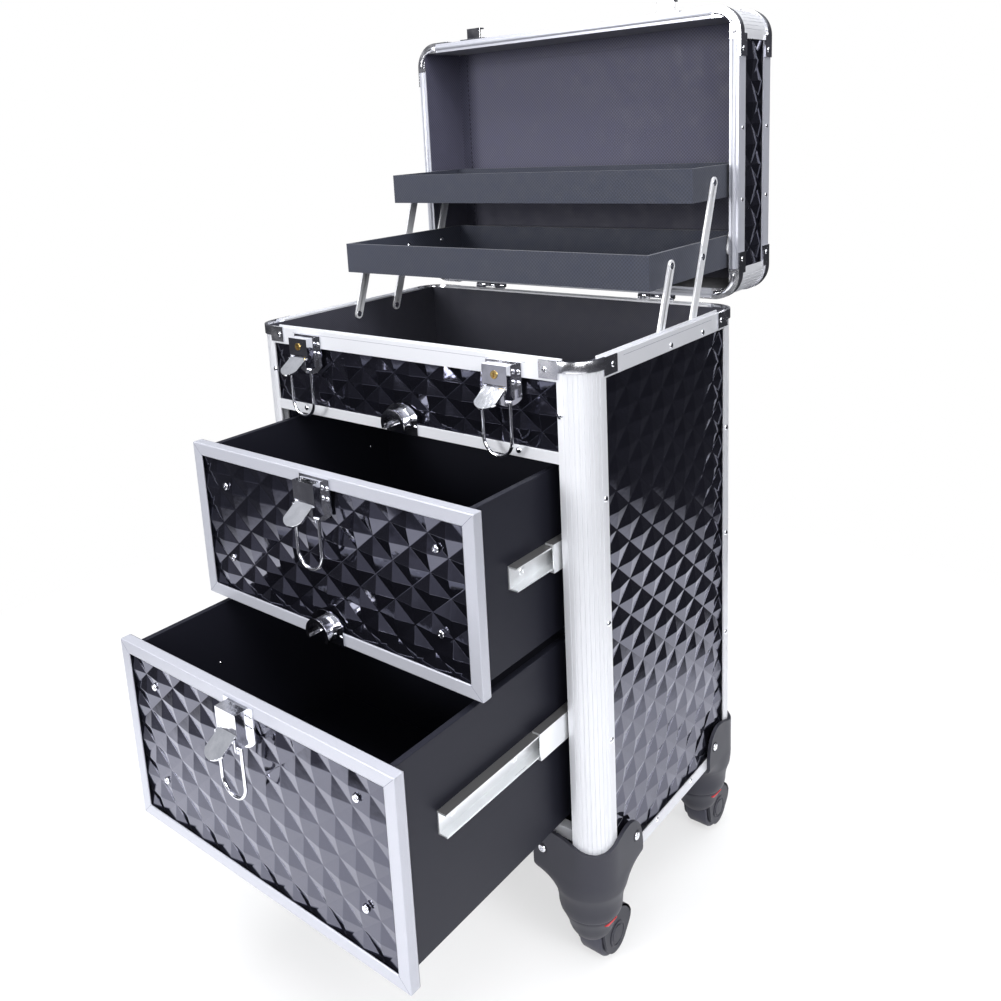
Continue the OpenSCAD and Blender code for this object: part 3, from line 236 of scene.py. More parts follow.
def up_share(tree, kind, output):
    """The upward part of a vector that a node gives."""
    return put(tree, "ShaderNodeSeparateXYZ", {"Vector": put(tree, kind).outputs[output]}).outputs["Z"]


def satin_aluminium(name, stretch, tone, metal, fluted=False):
    made, tree, shader = finish_of(name)
    streaks = effect(tree, STREAKS, Stretch=stretch, Blotch=7.0)
    light = tuple(min(1.0, c * 1.02) for c in tone) + (1,)
    dark = tuple(c * 0.97 for c in tone) + (1,)
    base = mixed_colour(tree, stepped(tree, streaks["Lines"], 0.3, 0.7), dark, light)
    if fluted:
        # Painted shade: the bottoms of the flutes are darker
        pointed = put(tree, "ShaderNodeNewGeometry").outputs["Pointiness"]
        flute_painted_shade = stepped(tree, pointed, 0.42, 0.5, 0.8, 0.0)
        base = mixed_colour(tree, flute_painted_shade, base, tuple(c * 0.4 for c in tone) + (1,))
    tree.links.new(base, shader.inputs["Base Color"])
    shader.inputs["Metallic"].default_value = metal
    rough = math_node(tree, "ADD", stepped(tree, streaks["Blotches"], 0.3, 0.7, 0.33, 0.35),
                      stepped(tree, streaks["Lines"], 0.3, 0.7, 0.0, 0.03))
    tree.links.new(rough, shader.inputs["Roughness"])
    bumped(tree, shader, streaks["Lines"], 0.000004)
    return made


def bright_chrome(name, smooth, rough):
    made, tree, shader = finish_of(name)
    grain = effect(tree, GRAIN, Grain=700.0, Unevenness=75.0)
    broad = stepped(tree, grain["Broad"], 0.3, 0.7)
    base = mixed_colour(tree, broad, (0.74, 0.75, 0.79, 1), (0.88, 0.88, 0.92, 1))
    tree.links.new(base, shader.inputs["Base Color"])
    shader.inputs["Metallic"].default_value = 1.0
    tree.links.new(stepped(tree, grain["Broad"], 0.3, 0.75, smooth, rough), shader.inputs["Roughness"])
    bumped(tree, shader, grain["Broad"], 0.00025)
    return made


def lock_brass():
    made, tree, shader = finish_of("lock_brass")
    grain = effect(tree, GRAIN, Grain=1800.0, Unevenness=180.0)
    base = mixed_colour(tree, grain["Broad"], (0.62, 0.42, 0.13, 1), (0.85, 0.64, 0.26, 1))
    tree.links.new(base, shader.inputs["Base Color"])
    shader.inputs["Metallic"].default_value = 1.0
    tree.links.new(stepped(tree, grain["Stipple"], 0.2, 0.8, 0.18, 0.34), shader.inputs["Roughness"])
    return made


def zinc_slide():
    made, tree, shader = finish_of("zinc_slide")
    streaks = effect(tree, STREAKS, Stretch=(900, 12, 900), Blotch=40.0)
    base = mixed_colour(tree, streaks["Blotches"], (0.8, 0.82, 0.84, 1), (0.95, 0.96, 0.97, 1))
    # Painted shade: the upward faces of the upper lips are dark
    upward = up_share(tree, "ShaderNodeNewGeometry", "Normal")
    high = stepped(tree, up_share(tree, "ShaderNodeTexCoord", "Generated"), 0.6, 0.7)
    lip_painted_shade = math_node(tree, "MULTIPLY", stepped(tree, upward, 0.75, 0.95, 0.0, 0.8), high)
    base = mixed_colour(tree, lip_painted_shade, base, (0.07, 0.062, 0.06, 1))
    tree.links.new(base, shader.inputs["Base Color"])
    shader.inputs["Metallic"].default_value = 0.72
    tree.links.new(stepped(tree, streaks["Lines"], 0.2, 0.8, 0.26, 0.4), shader.inputs["Roughness"])
    bumped(tree, shader, streaks["Lines"], 0.000006)
    return made


COOL_GLOSS = (0.78, 0.79, 1.0, 1)


def gloss_skin():
    made, tree, shader = finish_of("gloss_skin")
    grain = effect(tree, GRAIN, Grain=420.0, Unevenness=45.0)
    base = mixed_colour(tree, grain["Broad"], (0.0035, 0.0035, 0.0045, 1), (0.007, 0.007, 0.009, 1))
    tree.links.new(base, shader.inputs["Base Color"])
    tree.links.new(stepped(tree, grain["Broad"], 0.3, 0.75, 0.035, 0.085), shader.inputs["Roughness"])
    shader.inputs["Specular IOR Level"].default_value = 0.9
    shader.inputs["Specular Tint"].default_value = COOL_GLOSS
    shader.inputs["Coat Weight"].default_value = 0.5
    shader.inputs["Coat Roughness"].default_value = 0.04
    shader.inputs["Coat Tint"].default_value = COOL_GLOSS
    bumped(tree, shader, grain["Broad"], 0.0005, 0.6)
    return made


def black_board(name, light, rough):
    made, tree, shader = finish_of(name)
    grain = effect(tree, GRAIN, Grain=1300.0, Unevenness=14.0)
    base = mixed_colour(tree, grain["Broad"], (light * 0.95, light * 0.97, light * 1.5, 1),
                        (light * 1.01, light * 1.03, light * 1.65, 1))
    tree.links.new(base, shader.inputs["Base Color"])
    uneven = stepped(tree, grain["Stipple"], 0.2, 0.8, rough - 0.02, rough + 0.02)
    tree.links.new(uneven, shader.inputs["Roughness"])
    shader.inputs["Specular IOR Level"].default_value = 0.3
    shader.inputs["Specular Tint"].default_value = (0.8, 0.82, 1.0, 1)
    bumped(tree, shader, grain["Stipple"], 0.00001)
    return made


def woven_cover(name, dark, light, pitch, painted_hinge_shade=False):
    made, tree, shader = finish_of(name)
    weave = effect(tree, WEAVE, Pitch=pitch)
    base = mixed_colour(tree, weave["Threads"], dark + (1,), light + (1,))
    worn = tuple(c * 1.25 for c in light) + (1,)
    base = mixed_colour(tree, stepped(tree, weave["Slubs"], 0.4, 0.8, 0.0, 0.2), base, worn)
    if painted_hinge_shade:
        # Painted shade: the cloth is darker near the hinge
        height = up_share(tree, "ShaderNodeTexCoord", "Generated")
        deep = tuple(c * 0.9 for c in dark) + (1,)
        base = mixed_colour(tree, stepped(tree, height, 0.22, 0.5, 0.75, 0.0), base, deep)
    tree.links.new(base, shader.inputs["Base Color"])
    tree.links.new(stepped(tree, weave["Slubs"], 0.2, 0.8, 0.55, 0.8), shader.inputs["Roughness"])
    shader.inputs["Sheen Weight"].default_value = 0.15
    bumped(tree, shader, weave["Threads"], 0.00008)
    return made


def moulded_plastic(name, light, rough):
    made, tree, shader = finish_of(name)
    grain = effect(tree, GRAIN, Grain=2400.0, Unevenness=30.0)
    base = mixed_colour(tree, grain["Broad"], (light * 0.9, light * 0.9, light * 1.2, 1),
                        (light * 1.1, light * 1.1, light * 1.4, 1))
    tree.links.new(base, shader.inputs["Base Color"])
    uneven = stepped(tree, grain["Broad"], 0.25, 0.75, rough - 0.03, rough + 0.03)
    tree.links.new(uneven, shader.inputs["Roughness"])
    shader.inputs["Specular Tint"].default_value = (0.85, 0.86, 1.0, 1)
    bumped(tree, shader, grain["Stipple"], 0.00001)
    return made


def brake_red():
    made, tree, shader = finish_of("brake_red")
    grain = effect(tree, GRAIN, Grain=2000.0, Unevenness=80.0)
    base = mixed_colour(tree, grain["Broad"], (0.5, 0.015, 0.02, 1), (0.75, 0.03, 0.04, 1))
    tree.links.new(base, shader.inputs["Base Color"])
    tree.links.new(stepped(tree, grain["Stipple"], 0.2, 0.8, 0.3, 0.42), shader.inputs["Roughness"])
    return made


ALONG_Z = (900, 900, 3)
ALONG_Y = (1500, 30, 1500)
EVEN = (1500, 1500, 1500)
POST_ALUMINIUM = satin_aluminium("post_aluminium", ALONG_Z, (0.74, 0.75, 0.785), 0.3, True)
RAIL_ALUMINIUM = satin_aluminium("rail_aluminium", EVEN, (0.72, 0.73, 0.77), 0.35)
FRAME_ALUMINIUM = satin_aluminium("frame_aluminium", EVEN, (0.475, 0.485, 0.54), 0.3)
ARM_ALUMINIUM = satin_aluminium("arm_aluminium", ALONG_Y, (0.9, 0.91, 0.94), 0.4)
CHROME = bright_chrome("bright_chrome", 0.07, 0.17)
CAP_CHROME = bright_chrome("cap_chrome", 0.17, 0.3)
BRASS = lock_brass()
ZINC = zinc_slide()
SKIN = gloss_skin()
CASE_BOARD = black_board("case_board", 0.02, 0.5)
DRAWER_BOARD = black_board("drawer_board", 0.009, 0.5)
CASE_LINING = woven_cover("case_lining", (0.017, 0.017, 0.026), (0.042, 0.043, 0.064), 900.0)
LINING = woven_cover("lid_lining", (0.026, 0.026, 0.044), (0.082, 0.081, 0.134), 640.0, True)
TRAY_CLOTH = woven_cover("tray_cloth", (0.009, 0.011, 0.02), (0.031, 0.037, 0.063), 640.0)
BRACKET = moulded_plastic("bracket_plastic", 0.023, 0.46)
BRACKET_DARK = moulded_plastic("bracket_shadow", 0.004, 0.6)
WHEEL = moulded_plastic("wheel_plastic", 0.045, 0.4)
RED = brake_red()
JOINT = black_board("joint_shadow", 0.12, 0.6)
THREAD = black_board("seam_thread", 0.006, 0.6)

FINISHES = {
    POST_ALUMINIUM: ["corner_posts", "lid_corner_posts"],
    RAIL_ALUMINIUM: ["top_rim_rails", "lower_rails"],
    FRAME_ALUMINIUM: ["upper_drawer_frame", "lower_drawer_frame", "lid_trim"],
    ARM_ALUMINIUM: ["front_arms", "main_arms", "rear_arms"],
    CHROME: [
        "body_hinge_leaves", "lid_latch_plates", "upper_drawer_catch", "lid_catches", "lid_hinge_leaves",
        "upper_latch_plate", "lower_drawer_catch", "lower_latch_plate",
        "lid_lever_left", "lid_lever_right", "upper_lever", "lower_lever",
        "lid_loop_left", "lid_loop_right", "upper_loop", "lower_loop",
    ],
    CAP_CHROME: ["rim_corner_caps", "lid_corner_caps"],
    BRASS: ["lock_left", "lock_right"],
    ZINC: [
        "slide_channels", "upper_drawer_rails", "lower_drawer_rails",
        "upper_slide_middles", "lower_slide_middles",
    ],
    SKIN: ["body_skins", "lid_skins", "upper_drawer_skin", "lower_drawer_skin"],
    CASE_BOARD: ["base_board", "runner_boards"],
    CASE_LINING: ["side_boards", "back_board", "front_boards", "compartment_floor"],
    DRAWER_BOARD: ["upper_drawer_box", "lower_drawer_box"],
    LINING: ["lid_top_board", "lid_walls"],
    TRAY_CLOTH: ["lower_tray", "upper_tray"],
    BRACKET: [
        "caster_brackets", "fork_front_left", "fork_front_right", "fork_rear_left", "fork_rear_right",
    ],
    WHEEL: ["wheel_front_left", "wheel_front_right", "wheel_rear_left", "wheel_rear_right"],
}
# Width in millimetres and least angle in degrees of the rounded edges of each finish
SOFT_EDGES = {
    SKIN: (0.45, 5.0),
    CASE_BOARD: (0.4, 35.0),
    CASE_LINING: (0.4, 35.0),
    DRAWER_BOARD: (0.6, 35.0),
    LINING: (0.8, 35.0),
    TRAY_CLOTH: (0.8, 35.0),
    RAIL_ALUMINIUM: (0.3, 35.0),
    FRAME_ALUMINIUM: (0.9, 35.0),
    ARM_ALUMINIUM: (0.25, 35.0),
    BRACKET: (0.5, 35.0),
    WHEEL: (0.4, 35.0),
    CHROME: (0.2, 40.0),
    CAP_CHROME: (0.2, 40.0),
    ZINC: (0.2, 40.0),
}
WELD_M = 0.00001


def rounded(piece, width, segments=3, angle=40.0):
    """Rounds the edges of a piece that are sharper than an angle."""
    soft = piece.modifiers.new("soft_edges", "BEVEL")
    soft.width = width * MM
    soft.segments = segments
    soft.limit_method = "ANGLE"
    soft.angle_limit = math.radians(angle)
    soft.harden_normals = True


for finish, names in FINISHES.items():
    for name in names:
        piece = nodes[name]
        piece.data.materials.clear()
        piece.data.materials.append(finish)
        if finish in SOFT_EDGES:
            weld = piece.modifiers.new("joined_faces", "WELD")
            weld.merge_threshold = WELD_M
            width, angle = SOFT_EDGES[finish]
            rounded(piece, width, 2, angle)


# Mesh helpers
def facing(way):
    return way.to_track_quat("Z", "Y").to_matrix().to_4x4()


def new_piece(name, mesh, finish, body):
    """A piece that moves with a body and has a material slot."""
    data = bpy.data.meshes.new(name)
    mesh.to_mesh(data)
    mesh.free()
    data.materials.append(finish)
    piece = bpy.data.objects.new(name, data)
    scene.collection.objects.link(piece)
    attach(piece, body)
    return piece


def ring_of(mesh, place, radius, height, steps):
    """A ring of vertices round the z axis of a matrix."""
    ring = []
    for k in range(steps):
        a = 2 * math.pi * k / steps
        spot = Vector((radius * math.cos(a), radius * math.sin(a), height))
        ring.append(mesh.verts.new(place @ spot))
    return ring


def bridged(mesh, low, high, smooth=False):
    """Faces between two rings of the same count."""
    count = len(low)
    for k in range(count):
        n = (k + 1) % count
        mesh.faces.new((low[k], low[n], high[n], high[k])).smooth = smooth


def turned(mesh, place, profile, steps=20):
    """A turned shape from (radius, height) pairs, placed by a matrix. The ends are closed."""
    rings = [ring_of(mesh, place, radius, height, steps) for radius, height in profile]
    for low, high in zip(rings, rings[1:]):
        bridged(mesh, low, high, True)
    mesh.faces.new(list(reversed(rings[0])))
    mesh.faces.new(rings[-1]).smooth = True


# Depth to which a fastener is sunk, and a rivet's profile as shares of its radius and height
SUNK = 0.3
RIVET = ((1.0, 0.12), (0.93, 0.42), (0.72, 0.75), (0.42, 0.94), (0.12, 1.0))


def rivet(mesh, point, way, radius=2.4, height=1.1):
    place = Matrix.Translation(point) @ facing(way)
    profile = [(radius * MM, -SUNK * MM)] + [(radius * MM * r, height * MM * h) for r, h in RIVET]
    turned(mesh, place, profile)


def screw(mesh, point, way, radius=3.0, height=1.3, turn=0.4):
    """A pan head screw with a cross recess."""
    place = Matrix.Translation(point) @ facing(way) @ Matrix.Rotation(turn, 4, "Z")
    r, h = radius * MM, height * MM
    arm, half, deep = 0.55 * r, 0.13 * r, 0.45 * h
    cross = [(arm, -half), (arm, half), (half, half), (half, arm), (-half, arm), (-half, half),
             (-arm, half), (-arm, -half), (-half, -half), (-half, -arm), (half, -arm), (half, -half)]
    steps = 2 * len(cross)
    profile = ((r, -SUNK * MM), (r, 0.45 * h), (0.9 * r, 0.8 * h), (0.72 * r, h))
    rim = [ring_of(mesh, place, radius_k, height_k, steps) for radius_k, height_k in profile]
    for low, high in zip(rim, rim[1:]):
        bridged(mesh, low, high, True)
    mesh.faces.new(list(reversed(rim[0])))
    top = [mesh.verts.new(place @ Vector((x, y, h))) for x, y in cross]
    pit = [mesh.verts.new(place @ Vector((x * 0.8, y * 0.8, h - deep))) for x, y in cross]
    outer = rim[-1]
    for k in range(len(cross)):
        n = (k + 1) % len(cross)
        mesh.faces.new((top[n], top[k], pit[k], pit[n]))
        a, b, c = outer[(2 * k - 1) % steps], outer[2 * k], outer[(2 * k + 1) % steps]
        mesh.faces.new((a, b, top[k]))
        mesh.faces.new((b, c, top[k]))
        mesh.faces.new((c, top[n], top[k]))
    mesh.faces.new(pit)


def dotted(name, body, points, maker, finish=None, slot="chrome", **sizes):
    """One piece with a fastener at each point, facing its way."""
    mesh = bmesh.new()
    for point, way in points:
        maker(mesh, point, way, **sizes)
    return new_piece(name, mesh, finish or CHROME, body)


def pair(points):
    """The same points and ways on both sides of the middle."""
    made = []
    for point, way in points:
        made.append((point, way))
        made.append((Vector((-point.x, point.y, point.z)), Vector((-way.x, way.y, way.z))))
    return made


# Fasteners of the carcass
POST_RIVETS_Z = (407, 310, 214)
STRIP_RIVET_Z = 471
LOW_RIVET_Z = 150
post_rivets = [(at(POST_X, 0, STRIP_RIVET_Z), FRONT)]
for z in POST_RIVETS_Z:
    post_rivets.append((at(HALF_W, POST_R, z), RIGHT))
    post_rivets.append((at(HALF_W, DEPTH - POST_R, z), RIGHT))
for z in (STRIP_RIVET_Z, *POST_RIVETS_Z, LOW_RIVET_Z):
    post_rivets.append((at(POST_X, DEPTH, z), BACK))
dotted("post_rivets", "carcass", pair(post_rivets), rivet)

RIM_RIVETS_Y = (121, 174)
RIM_RIVET_Z = 499
FOOT_RIVETS_Y = (89, 149)
FOOT_RIVETS_X = (40, 115)
FOOT_RIVET_Z = 102
DIVIDER_RIVET = (115, 440)
rail_rivets = [(at(DIVIDER_RIVET[0], 0, DIVIDER_RIVET[1]), FRONT)]
rail_rivets += [(at(HALF_W, y, RIM_RIVET_Z), RIGHT) for y in RIM_RIVETS_Y]
rail_rivets += [(at(HALF_W, y, FOOT_RIVET_Z), RIGHT) for y in FOOT_RIVETS_Y]
rail_rivets += [(at(x, DEPTH, FOOT_RIVET_Z), BACK) for x in FOOT_RIVETS_X]
dotted("rail_rivets", "carcass", pair(rail_rivets), rivet)

# Screws through the drawers' skins, 2.2 mm behind the frames' faces
SKIN_IN = 2.2
FRONT_SCREWS = (
    ("upper_front_screws", "upper_drawer", UPPER_FACE, 113, (398, 336)),
    ("lower_front_screws", "lower_drawer", LOWER_FACE, 111, (262, 180)),
)
for name, body, face, x, heights in FRONT_SCREWS:
    dotted(name, body, pair([(at(x, face + SKIN_IN, z), FRONT) for z in heights]), screw)

# Mitre joints of the drawers' frames
FRAME_W = 10.3
JOINT_HALF = 0.16
JOINT_PROUD = 0.04
JOINT_SUNK = 0.2
JOINT_SHARE = 0.92


def joint_line(mesh, start, end, out):
    """A fine dark seam between two points, a hair proud of the face."""
    side = (end - start).normalized().cross(out) * JOINT_HALF * MM
    rings = []
    for share, lift in ((1.0, -JOINT_SUNK), (0.6, JOINT_PROUD)):
        width = side * share
        middle_start = start + out * lift * MM
        middle_end = end + out * lift * MM
        spots = (middle_start - width, middle_start + width, middle_end + width, middle_end - width)
        rings.append([mesh.verts.new(spot) for spot in spots])
    mesh.faces.new(rings[0])
    mesh.faces.new(rings[1])
    bridged(mesh, *rings)


FRAMES = (
    ("upper_frame_joints", "upper_drawer", UPPER_FACE, UPPER_FRONT),
    ("lower_frame_joints", "lower_drawer", LOWER_FACE, LOWER_FRONT),
)
for name, body, face, (half, low_z, high_z) in FRAMES:
    mesh = bmesh.new()
    for side in (-1, 1):
        for z_out, z_in in ((low_z, low_z + FRAME_W), (high_z, high_z - FRAME_W)):
            inner = at(side * (half - FRAME_W), face, z_in)
            outer = at(side * half, face, z_out)
            joint_line(mesh, inner, inner + (outer - inner) * JOINT_SHARE, FRONT)
    bmesh.ops.recalc_face_normals(mesh, faces=mesh.faces)
    new_piece(name, mesh, JOINT, body)

# A fine groove runs along the outer faces of the case's rim
GROOVE_Z = 506.4
GROOVE_X = 124.0
GROOVE_Y = 50.0
grooves = bmesh.new()
for y, out in ((0, FRONT), (DEPTH, BACK)):
    joint_line(grooves, at(-GROOVE_X, y, GROOVE_Z), at(GROOVE_X, y, GROOVE_Z), out)
for side in (-1, 1):
    start = at(side * HALF_W, GROOVE_Y, GROOVE_Z)
    joint_line(grooves, start, at(side * HALF_W, DEPTH - GROOVE_Y, GROOVE_Z), RIGHT * side)
bmesh.ops.recalc_face_normals(grooves, faces=grooves.faces)
new_piece("rim_grooves", grooves, JOINT, "carcass")

# Fasteners of the hardware
LATCH_FACE = 1.2
LATCH_RIVETS = ((-13.6, -7), (13.6, -7), (-13.6, -15), (13.6, -15))
LATCH_X = 105.0
LATCH_TOP = 506.0
LATCH_DOWN = 2.0


def latch_rivets(name, body, tops):
    points = []
    for x, y, z in tops:
        for dx, dz in LATCH_RIVETS:
            points.append((at(x + dx, y - LATCH_FACE, z + dz), FRONT))
    dotted(name, body, points, rivet, radius=1.8, height=0.9)


latch_rivets("lid_latch_rivets", "carcass", ((-LATCH_X, 0, LATCH_TOP), (LATCH_X, 0, LATCH_TOP)))
latch_rivets("upper_latch_rivets", "upper_drawer", ((0, UPPER_FACE, UPPER_FRONT[2] - LATCH_DOWN),))
latch_rivets("lower_latch_rivets", "lower_drawer", ((0, LOWER_FACE, LOWER_FRONT[2] - LATCH_DOWN),))

CATCH_RIVET_X = 14.4
CATCHES = (
    ("upper_catch_rivets", "carcass", 0, 442),
    ("lower_catch_rivets", "upper_drawer", UPPER_FACE, 304.2),
)
for name, body, face, z in CATCHES:
    points = pair([(at(CATCH_RIVET_X, face - LATCH_FACE, z), FRONT)])
    dotted(name, body, points, rivet, radius=1.9, height=0.9)

CAP_OUT = 1.2
CAP_RIVET_X = 141.0
CAP_RIVET_Y = 34.0
CAP_RIVET_Z = 503.5
LID_CAPS_Z = (6.5, 56.5)
CAP_ENDS = ((-CAP_OUT, CAP_RIVET_Y, FRONT), (DEPTH + CAP_OUT, DEPTH - CAP_RIVET_Y, BACK))
cap_points = []
lid_points = []
for y_out, y_side, way in CAP_ENDS:
    cap_points.append((at(CAP_RIVET_X, y_out, CAP_RIVET_Z), way))
    cap_points.append((at(HALF_W + CAP_OUT, y_side, CAP_RIVET_Z), RIGHT))
    for z in LID_CAPS_Z:
        lid_points.append((lid_at(CAP_RIVET_X, y_out, z), lid_way(way)))
        lid_points.append((lid_at(HALF_W + CAP_OUT, y_side, z), RIGHT))
dotted("rim_cap_rivets", "carcass", pair(cap_points), rivet, radius=2.2, height=1.0)
dotted("lid_cap_rivets", "lid", pair(lid_points), rivet, radius=2.2, height=1.0)

TRIM_RIVETS_X = (30, 75)
TRIM_RIVETS_Y = (97, 156)
TRIM_LOW_Z = 7.5
TRIM_HIGH_Z = 56.5
trim_points = []
for y in TRIM_RIVETS_Y:
    trim_points.append((lid_at(HALF_W, y, TRIM_HIGH_Z), RIGHT))
    trim_points.append((lid_at(HALF_W, y, TRIM_LOW_Z), RIGHT))
for x in TRIM_RIVETS_X:
    trim_points.append((lid_at(x, 0, TRIM_HIGH_Z), lid_way(FRONT)))
    trim_points.append((lid_at(x, DEPTH, TRIM_HIGH_Z), lid_way(BACK)))
dotted("lid_trim_rivets", "lid", pair(trim_points), rivet, radius=1.9, height=0.8)

LID_CATCH_Z = 10.0
LID_CATCH_RIVETS = (-11.2, 11.2)
catch_points = []
for dx in LID_CATCH_RIVETS:
    catch_points.append((lid_at(LATCH_X + dx, -LATCH_FACE, LID_CATCH_Z), lid_way(FRONT)))
dotted("lid_catch_rivets", "lid", pair(catch_points), rivet, radius=1.6, height=0.7)

LEAF_OUT = 241.2
HINGE_X = 95.0
BODY_LEAF_Z = 500.0
LID_LEAF_Z = 12.0
LEAF_RIVETS_X = (HINGE_X - 11, HINGE_X + 11)
hinge_points = [(at(x, LEAF_OUT, BODY_LEAF_Z), BACK) for x in LEAF_RIVETS_X]
leaf_points = [(lid_at(x, LEAF_OUT, LID_LEAF_Z), lid_way(BACK)) for x in LEAF_RIVETS_X]
dotted("body_hinge_rivets", "carcass", pair(hinge_points), rivet, radius=2.1, height=0.9)
dotted("lid_hinge_rivets", "lid", pair(leaf_points), rivet, radius=2.1, height=0.9)

# Screws in the casters' ears, each on a dark disc of painted shade for its well
PLATE_OUT = 3.2
FRONT_EAR_SCREW = (123, 112.5)
SIDE_EAR_SCREW = (50, 114)
ear_points = []
for y_out, y_side, way in (
    (-PLATE_OUT, SIDE_EAR_SCREW[0], FRONT),
    (DEPTH + PLATE_OUT, DEPTH - SIDE_EAR_SCREW[0], BACK),
):
    ear_points.append((at(FRONT_EAR_SCREW[0], y_out, FRONT_EAR_SCREW[1]), way))
    ear_points.append((at(HALF_W + PLATE_OUT, y_side, SIDE_EAR_SCREW[1]), RIGHT))
dotted("bracket_screws", "carcass", pair(ear_points), screw, radius=3.4, height=1.3)
dotted("bracket_screw_well_shade", "carcass", pair(ear_points), rivet,
       finish=BRACKET_DARK, slot="bracket_plastic", radius=4.7, height=0.35)

RAIL_FACE = 139.7
RAIL_SCREW_STEPS = (60, 128, 196)
BOX_INNER = 133.5
WALL_NUT_STEPS = (78, 187)
# Name, body, front face, height of the rail's screws and height of the wall's nuts
DRAWER_SIDES = (
    ("upper", "upper_drawer", UPPER_FACE, 366, 375),
    ("lower", "lower_drawer", LOWER_FACE, 228.5, 238.5),
)
for name, body, face, rail_z, nut_z in DRAWER_SIDES:
    points = pair([(at(RAIL_FACE, face + step, rail_z), RIGHT) for step in RAIL_SCREW_STEPS])
    dotted(f"{name}_rail_screws", body, points, screw,
           finish=ZINC, slot="slide_steel", radius=3.2, height=1.0)
for name, body, face, rail_z, nut_z in DRAWER_SIDES:
    points = pair([(at(BOX_INNER, face + step, nut_z), LEFT) for step in WALL_NUT_STEPS])
    dotted(f"{name}_wall_nuts", body, points, rivet, radius=1.7, height=0.7)

# Eyelets and nuts of the tray pivots
ARM_OUT = 165.3
ARM_IN = 163.5
TRAY_INNER = 160.1
LOWER_PINS = ((139.7, 557.3), (193.2, 557.3), (244.0, 557.3))
UPPER_PINS = ((214.4, 615.5), (265.2, 615.5))
WALL_PINS = ((118.5, 499.0), (172.0, 499.0))
EYELET = ((2.9, -0.1), (2.9, 0.12), (2.5, 0.22), (1.9, 0.18), (1.5, -0.05), (1.2, -0.09))


def eyelet(mesh, point, way):
    place = Matrix.Translation(point) @ facing(way)
    turned(mesh, place, [(r * MM, h * MM) for r, h in EYELET])


dotted("wall_pin_eyelets", "carcass", pair([(at(ARM_IN, y, z), LEFT) for y, z in WALL_PINS]), eyelet)
TRAY_PINS = (("lower_tray", LOWER_PINS), ("upper_tray", UPPER_PINS))
for body, pins in TRAY_PINS:
    dotted(f"{body}_eyelets", body, pair([(at(ARM_OUT, y, z), RIGHT) for y, z in pins]), eyelet)
for body, pins in TRAY_PINS:
    nuts = pair([(at(TRAY_INNER, y, z), LEFT) for y, z in pins])
    dotted(f"{body}_nuts", body, nuts, rivet, radius=3.0, height=1.3)


# Linings of the lid and of the top compartment
def slab(mesh, a, b, edge=0.25):
    """A thin strip with rounded edges between two opposite corners."""
    low = Vector(map(min, a, b))
    high = Vector(map(max, a, b))
    made = bmesh.ops.create_cube(mesh, size=1.0)["verts"]
    size = high - low
    middle = (low + high) / 2
    for v in made:
        v.co = Vector((middle.x + v.co.x * size.x, middle.y + v.co.y * size.y, middle.z + v.co.z * size.z))
    edges = {e for v in made for e in v.link_edges}
    bmesh.ops.bevel(mesh, geom=list(edges), offset=edge * MM, segments=2, affect="EDGES", profile=0.5)


# Sheets of lining hide the metal lips inside the lid and inside the top compartment
SHEET_OUT = 8.31
SHEET_IN = 8.48
INNER_X = HALF_W - SHEET_OUT
COMPARTMENT_LOW = 439.3
RIM_TOP = 508.3
LID_LINING_LOW = 0.8
LINING_BACK = 55.9
SHEET_EDGE = 0.07


def sheet_ring(mesh, place, low, high):
    """Four thin sheets round the inside, between two heights."""
    for side in (-1, 1):
        slab(mesh, place(side * INNER_X, SHEET_OUT, low),
             place(side * (HALF_W - SHEET_IN), DEPTH - SHEET_OUT, high), SHEET_EDGE)
    for y0, y1 in ((SHEET_OUT, SHEET_IN), (DEPTH - SHEET_IN, DEPTH - SHEET_OUT)):
        slab(mesh, place(-INNER_X, y0, low), place(INNER_X, y1, high), SHEET_EDGE)


sheets = bmesh.new()
sheet_ring(sheets, at, COMPARTMENT_LOW, RIM_TOP)
new_piece("compartment_lining", sheets, CASE_LINING, "carcass")
sheets = bmesh.new()
sheet_ring(sheets, lid_at, LID_LINING_LOW, LINING_BACK)
new_piece("lid_side_lining", sheets, LINING, "lid")

# Strips folded onto the lid's back panel, the upright ones sewn down
UPRIGHT_X = (166.3, 153.0)
UPRIGHT_Y = (9.0, 231.0)
UPRIGHT_T = 0.7
CROSS_X = 152.6
CROSS_Y = ((7.8, 20.0), (220.0, 232.2))
CROSS_T = 0.5
strips = bmesh.new()
for side in (-1, 1):
    slab(strips, lid_at(side * UPRIGHT_X[0], UPRIGHT_Y[0], LINING_BACK),
         lid_at(side * UPRIGHT_X[1], UPRIGHT_Y[1], LINING_BACK - UPRIGHT_T))
for y0, y1 in CROSS_Y:
    slab(strips, lid_at(-CROSS_X, y0, LINING_BACK), lid_at(CROSS_X, y1, LINING_BACK - CROSS_T))
new_piece("lining_strips", strips, LINING, "lid")

STITCH = 3.2
STITCH_STEP = 5.0
STITCH_COUNT = 42
STITCH_X = 155.0
STITCH_START = 15.0
STITCH_OUT = 0.75
STITCH_SIDES = 8
STITCH_WIDE = 0.45
STITCH_HIGH = 0.4
STITCH_FORM = ((-0.5, 0.25), (-0.3, 0.8), (0.0, 1.0), (0.3, 0.8), (0.5, 0.25))


